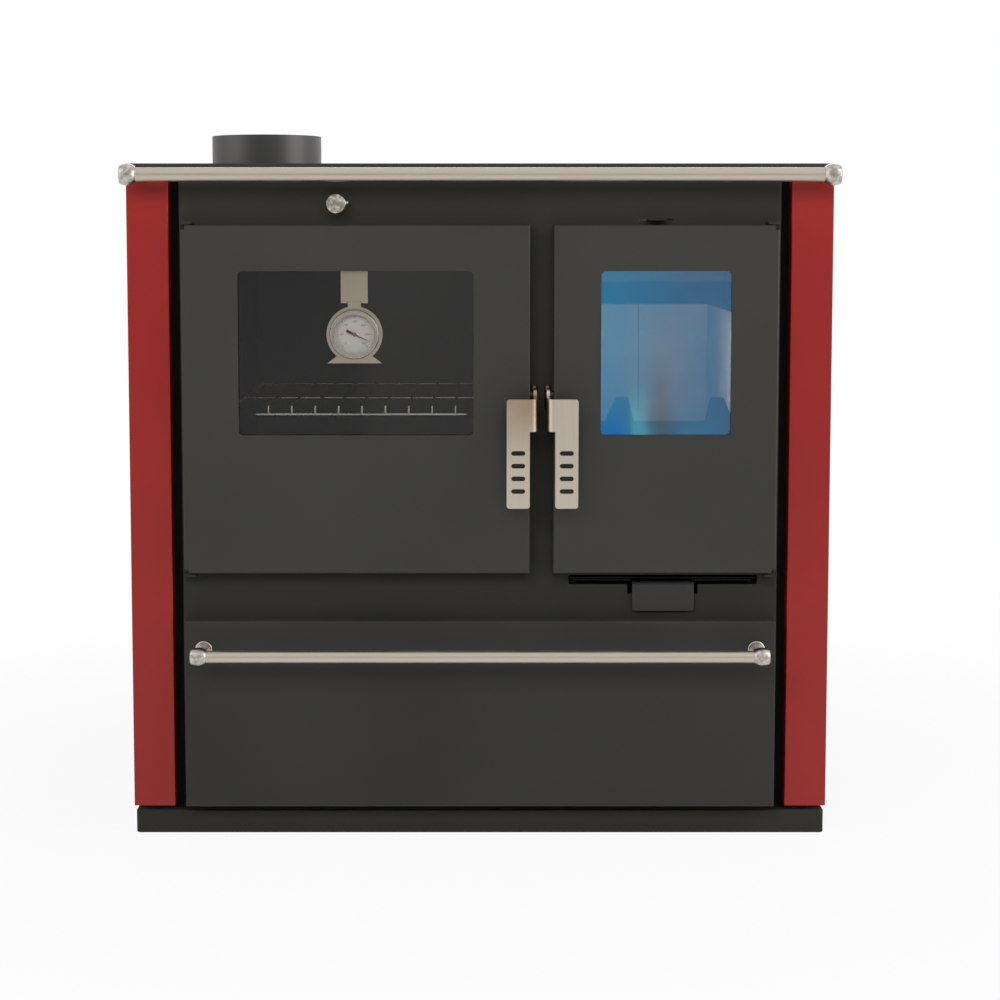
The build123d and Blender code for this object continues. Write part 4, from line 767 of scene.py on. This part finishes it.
# %% Lay a rope for each door
half = 0.0045
for door in ("oven_door", "fire_door"):
    low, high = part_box(door + "_rope")
    y = (low.y + high.y) / 2
    corners = [(x, y, z) for x, z in ((low.x + half, low.z + half), (high.x - half, low.z + half),
                                      (high.x - half, high.z - half), (low.x + half, high.z - half))]
    seeds = bpy.data.meshes.new("rope_line")
    seeds.from_pydata(corners, [(0, 1), (1, 2), (2, 3), (3, 0)], [])
    finish_piece(door + "_laid_rope", grown(tree, seeds), "rope", door + "_rope")
    print(door, "rope:", len(made[-1].data.polygons), "faces")

# %% [markdown]
# ## The oven thermometer
#
# It is a pressed case with a rolled bezel, a white dial under a watch glass, and a red hand with a broad tail.
# The roll of the bezel gives it its two bright crescents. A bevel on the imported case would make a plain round
# edge, so the case is swept again from a profile with that roll. The ticks of the dial are thin bars, set by
# the same tree as the screws.

# %% Case with a rolled bezel, and its ticks
thermo = middle_of("thermometer_case")
thermo_centre = (thermo.x, thermo.z)
case_profile = [(0, -4), (28, -4), (28, -11.4), (29.8, -11.7), (30.8, -12.6), (31, -13.8), (30.6, -15),
                (29.8, -15.9), (28.7, -16.4), (27.5, -16.4), (26.7, -16.0), (26.2, -15.9), (25.6, -16.2),
                (24.9, -16.2), (24.5, -15.9), (24.5, -15.56), (27.05, -15.56), (27.05, -5), (0, -5)]
finish_piece("rolled_case", turned("rolled_case", case_profile, thermo_centre),
             "bezel_steel", "thermometer_case")

# The scale runs clockwise from 225 degrees, over 270 degrees in all.
scale_start, tick_step, ticks_per_number = 225, 9, 5
tick_ring, number_ring = 0.0200, 0.0160
tick_depth, number_depth = 0.00957, 0.00955
tick_places = {"long": [], "short": []}
for step in range(31):
    angle = math.radians(scale_start - tick_step * step)
    outward = Vector((math.cos(angle), 0, math.sin(angle)))
    place = Vector((thermo_centre[0], front_face - tick_depth, thermo_centre[1])) + outward * tick_ring
    tick_places["long" if step % ticks_per_number == 0 else "short"].append((place, outward))


def small_bar(name, wide, thick, long):
    """A bar that stands on the origin, long in Z."""
    bar = bpy.data.meshes.new(name)
    around = ((-1, -1), (1, -1), (1, 1), (-1, 1))
    corners = [(x * wide / 2, y * thick / 2, z * long) for z in (0, 1) for x, y in around]
    sides = [(0, 1, 5, 4), (1, 2, 6, 5), (2, 3, 7, 6), (3, 0, 4, 7)]
    bar.from_pydata(corners, [], [(3, 2, 1, 0), (4, 5, 6, 7)] + sides)
    return bar


for length, sizes in (("long", (0.0006, 0.0003, 0.0026)), ("short", (0.0004, 0.0003, 0.0016))):
    finish_piece("dial_ticks_" + length, scattered("dial_ticks_" + length, "dial_ink", tick_places[length],
                                                   small_bar("tick_" + length, *sizes)),
                 "dial_ink", body="thermometer")
print("ticks:", {k: len(v) for k, v in tick_places.items()})

# %% [markdown]
# ## The numbers
#
# On the real dial the numbers are printed. A picture of the print would blur close up and would have to be
# packed with the file, so they are flat letters of Blender's own font, turned into meshes and joined to one
# piece. Each stands upright on a ring inside the ticks, one to every fifth tick.

# %% Numbers
number_meshes = bmesh.new()
for step in range(7):
    letters = bpy.data.curves.new("number", "FONT")
    letters.body, letters.size, letters.extrude = str(step * 50), 0.0042, 0.00005
    letters.align_x, letters.align_y = "CENTER", "CENTER"
    holder = bpy.data.objects.new("number", letters)
    bpy.context.scene.collection.objects.link(holder)
    flat = bpy.data.meshes.new_from_object(holder.evaluated_get(bpy.context.evaluated_depsgraph_get()))
    bpy.data.objects.remove(holder)
    angle = math.radians(scale_start - tick_step * ticks_per_number * step)
    place = (thermo_centre[0] + number_ring * math.cos(angle), front_face - number_depth,
             thermo_centre[1] + number_ring * math.sin(angle))
    flat.transform(Matrix.Translation(place) @ Matrix.Rotation(math.pi / 2, 4, "X"))
    number_meshes.from_mesh(flat)
numbers = bpy.data.meshes.new("dial_numbers")
number_meshes.to_mesh(numbers)
number_meshes.free()
finish_piece("dial_numbers", numbers, "dial_ink", body="thermometer")
print("numbers 0 to 300")

# %% [markdown]
# ## The hand
#
# The hand is cut from thin sheet: a broad tail, a disc and a long needle, pressed on a pin. It could be three
# stretched cubes, but their corners would not taper. So each outline is drawn as points along the hand, turned
# to where it rests, and given the sheet's thickness, and a small turned pin goes through it.

# %% The hand and its pin
hand = bmesh.new()
outlines = [[(-11.2, -1.7), (-10.2, -1.9), (-2, -1.2), (-2, 1.2), (-10.2, 1.9), (-11.2, 1.7)],
            [(1.5, -0.8), (18.9, -0.18), (18.9, 0.18), (1.5, 0.8)],
            [(2.3 * math.cos(2 * math.pi * n / 24), 2.3 * math.sin(2 * math.pi * n / 24)) for n in range(24)]]
at_rest = math.radians(-26)
for outline in outlines:
    sheets = []
    for depth in (-12.0, -12.5):
        sheets.append([hand.verts.new((
            thermo_centre[0] + (u * math.cos(at_rest) - v * math.sin(at_rest)) / 1000,
            front_face + depth / 1000,
            thermo_centre[1] + (u * math.sin(at_rest) + v * math.cos(at_rest)) / 1000)) for u, v in outline])
    hand.faces.new(sheets[0][::-1])
    hand.faces.new(sheets[1])
    for n in range(len(outline)):
        after = (n + 1) % len(outline)
        hand.faces.new((sheets[0][n], sheets[0][after], sheets[1][after], sheets[1][n]))
bmesh.ops.recalc_face_normals(hand, faces=hand.faces)
hand_mesh = bpy.data.meshes.new("hand")
hand.to_mesh(hand_mesh)
hand.free()
finish_piece("thermometer_hand", hand_mesh, "pointer_paint", "thermometer_pointer")
hub_profile = [(0, -5.4), (0.9, -5.4), (0.9, -12.4), (1.3, -12.5), (1.3, -12.9), (0.8, -13.2), (0, -13.3)]
hub = turned("hub", hub_profile, thermo_centre, 20)
finish_piece("thermometer_hub", hub, "polished_steel", body="pointer")
print("a hand of", len(outlines), "parts on its pin")

# %% [markdown]
# ## The damper knob
#
# The knob that pulls the start-up damper has fine rings on its face and is drawn out a little to one side,
# where a pin sits in it. Rings could be a bump map, but their light edges read from across the room, so they
# are cut in the profile. The same sweep makes it, with a rule that lets the rim reach out towards the pin.

# %% Knob and pin
knob_low, knob_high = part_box("damper_knob")
knob_radius = 0.012
knob_centre = (knob_low.x + knob_radius, knob_low.z + knob_radius)
knob_profile = [(0, -12), (6.4, -12), (6.4, -15.4), (7.4, -16.6), (10.8, -17.4), (11.8, -18.2), (12, -19.2),
                (12, -25.2), (11.6, -26.2), (10.9, -26.7), (10, -26.8), (9.4, -26.5), (8.8, -26.3),
                (8.2, -26.6), (7.6, -26.6), (7, -26.2), (6.2, -26.1), (5.6, -26.4), (5, -26.4), (4.4, -26.0),
                (3.4, -25.9), (2.8, -26.2), (2.2, -26.2), (1.7, -25.9), (0, -25.8)]


def towards_pin(row, radius, angle):
    """The rim reaches out by up to 8.5 % where it faces the pin; the rings inside it stay round."""
    turn = (angle + math.pi) % (2 * math.pi) - math.pi - 0.13
    return radius * (1 + 0.085 * math.exp(-(turn / 0.42) ** 2)) if radius > 8 else radius


knob = turned("knob", knob_profile, knob_centre, 72, towards_pin)
pin = turned("pin", [(0, -4), (1.7, -4), (1.7, 2.6), (1.5, 3.1), (1.0, 3.4), (0, 3.5)], (0, 0), 20)
pin_foot = (knob_high.x - 0.0035, (knob_low.y + knob_high.y) / 2, knob_centre[1] + 0.0016)
pin.transform(Matrix.Translation(pin_foot)
              @ Matrix.Rotation(-math.pi / 2, 4, "Z") @ Matrix.Translation((0, -front_face, 0)))
both = bmesh.new()
both.from_mesh(knob)
both.from_mesh(pin)
knob_mesh = bpy.data.meshes.new("ringed_knob")
both.to_mesh(knob_mesh)
both.free()
knob_mesh.shade_smooth()
finish_piece("ringed_knob", weighted(knob_mesh), "knob_steel", "damper_knob")
print("knob and pin")

# %% [markdown]
# ## The studio
#
# The photograph shows the stove cut out on white, lit soft and flat, so the world is white to the camera. Steel
# and glass show what stands round them. A picture of a studio could serve for that, but a few masks on the
# direction of the ray do as well. Mirrored rays see the white too, except straight in front: there the real
# room was dim, and that is why the panes stay dark while every fold of the sheet catches a light edge.

# %% World
def light_path(tree, *kinds):
    """The first kind of ray as a Signal, and the sum of all of them."""
    paths = Signal(tree, tree.nodes.new("ShaderNodeLightPath").outputs[0])
    found = [Signal(tree, paths.socket.node.outputs[kind]) for kind in kinds]
    total = found[0]
    for more in found[1:]:
        total = total + more
    return found[0], total


world = bpy.data.worlds.new("studio")
bpy.context.scene.world = world
world.use_nodes = True
tree = world.node_tree
tree.nodes.clear()
seen, shown = light_path(tree, "Is Camera Ray", "Is Glossy Ray", "Is Transmission Ray")
ray = Signal(tree, tree.nodes.new("ShaderNodeTexCoord").outputs["Object"])
front, height = -1.0 * axis_of(ray, 1), axis_of(ray, 2)
side, room = axis_of(ray, 0), grain(ray, 2.4, 2)
dim_front = between(front, 0.55, 0.96) * between(height, 0.1, 0.42, 1, 0) * 0.42 + (room - 0.5) * 0.5

# Straight in front the wall is darker still, but for a light window that starts just left of the middle.
window = between(side, -0.062, -0.046) * between(side, 0.3, 0.6, 1, 0)
dim_front = dim_front + between(front, 0.9, 0.97) * between(height, -0.3, 0.2) * (0.28 - window * 0.36)

# The left wall is a little dimmer than the white, and the right one lighter.
dim_front = dim_front + between(side, -0.95, -0.5, 0.14, 0) - between(side, 0.5, 0.95) * 0.3

fill, mirrored = 0.15, 0.81
level = fill + seen * (1 - fill) + (shown - seen) * (mirrored - dim_front)
light = seen.node("ShaderNodeBackground", {}, {"Color": mixed(seen, (1.0, 0.985, 0.955, 1), (1, 1, 1, 1)),
                                               "Strength": level})
tree.links.new(light.socket, tree.nodes.new("ShaderNodeOutputWorld").inputs["Surface"])
print("the world is white, and dim in front")

# %% [markdown]
# ## The floor
#
# A soft shadow sets the stove on the ground, yet the ground itself has to vanish into the white page. A floor
# that only catches shadows would leave nothing for the steel to mirror. So the floor is matt for light that
# bounces, and for the camera and in mirrors it is nearly all white glow, with just enough of the matt part
# left to keep the shadow. Farther out the glow takes over, so that no edge shows.

# %% Floor
floor_mesh = bpy.data.meshes.new("floor")
floor_mesh.from_pydata([(-9, -4, 0), (9, -4, 0), (9, 9, 0), (-9, 9, 0)], [], [(0, 1, 2, 3)])
floor = bpy.data.objects.new("floor", floor_mesh)
bpy.context.scene.collection.objects.link(floor)
material, place = new_finish("floor_white")
tree = material.node_tree
seen, shown = light_path(tree, "Is Camera Ray", "Is Glossy Ray", "Is Transmission Ray")
flat = place.node("ShaderNodeVectorMath", {"operation": "LENGTH"}, {0: stretched(place, 1, 1.3, 0)}, 1)
far = between(flat, 0.5, 1.9)
matt = seen.node("ShaderNodeBsdfDiffuse", {}, {"Color": (0.82, 0.82, 0.82, 1)})
glow = seen.node("ShaderNodeEmission", {}, {"Strength": 1.0})
both = seen.node("ShaderNodeMixShader", {}, {0: shown * (0.92 + far * 0.08), 1: matt, 2: glow})
tree.links.new(both.socket, tree.nodes.new("ShaderNodeOutputMaterial").inputs["Surface"])
floor_mesh.materials.append(material)
print("the floor is white and keeps the shadow")

# %% [markdown]
# ## Soft panels
#
# A sun or a single bulb would give hard shadows that the photograph doesn't have. Four large panels light the
# stove instead: one at each side, one behind, and a long one high up in front, so that each rail throws a soft
# shade on the plate below it. That one is hidden from mirrored rays, or the panes would show it. The firebox
# gets a small lamp of its own, because its bricks are bright in the photograph.

# %% Soft panels
def panel(name, place, size, power, aim=(0, 0, 0.45)):
    """A rectangle of light, in metres and watts, that faces its aim."""
    lamp = bpy.data.lights.new(name, "AREA")
    lamp.shape, lamp.size, lamp.size_y, lamp.energy = "RECTANGLE", size[0], size[1], power
    lamp.color = (1, 0.985, 0.965)
    holder = bpy.data.objects.new(name, lamp)
    bpy.context.scene.collection.objects.link(holder)
    holder.location = place
    holder.rotation_euler = (Vector(aim) - Vector(place)).to_track_quat("-Z", "Y").to_euler()
    return holder


panel("panel_right", (2.3, -0.9, 1.4), (1.8, 2.2), 24)
panel("panel_left", (-2.3, -0.9, 1.4), (1.8, 2.2), 8)
panel("panel_back", (0.3, 2.8, 1.9), (2.4, 1.6), 22)
panel("panel_front", (-0.3, -2.4, 1.62), (3.0, 0.9), 37).visible_glossy = False
fire_middle = (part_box("firebricks")[0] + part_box("firebricks")[1]) / 2
pilot = panel("pilot_lamp", (fire_middle.x, front_face + 0.045, 0.60), (0.12, 0.12), 0.42,
              (fire_middle.x, front_face + 0.4, 0.57))
pilot.visible_glossy = False
print("four panels and a small lamp in the firebox")

# %% [markdown]
# ## Closing
#
# The dressed stove has to be as large as its solids, or it would not fit where the imported model fits. The last
# step only brings the view layer up to date.

# %% The end
bpy.context.view_layer.update()
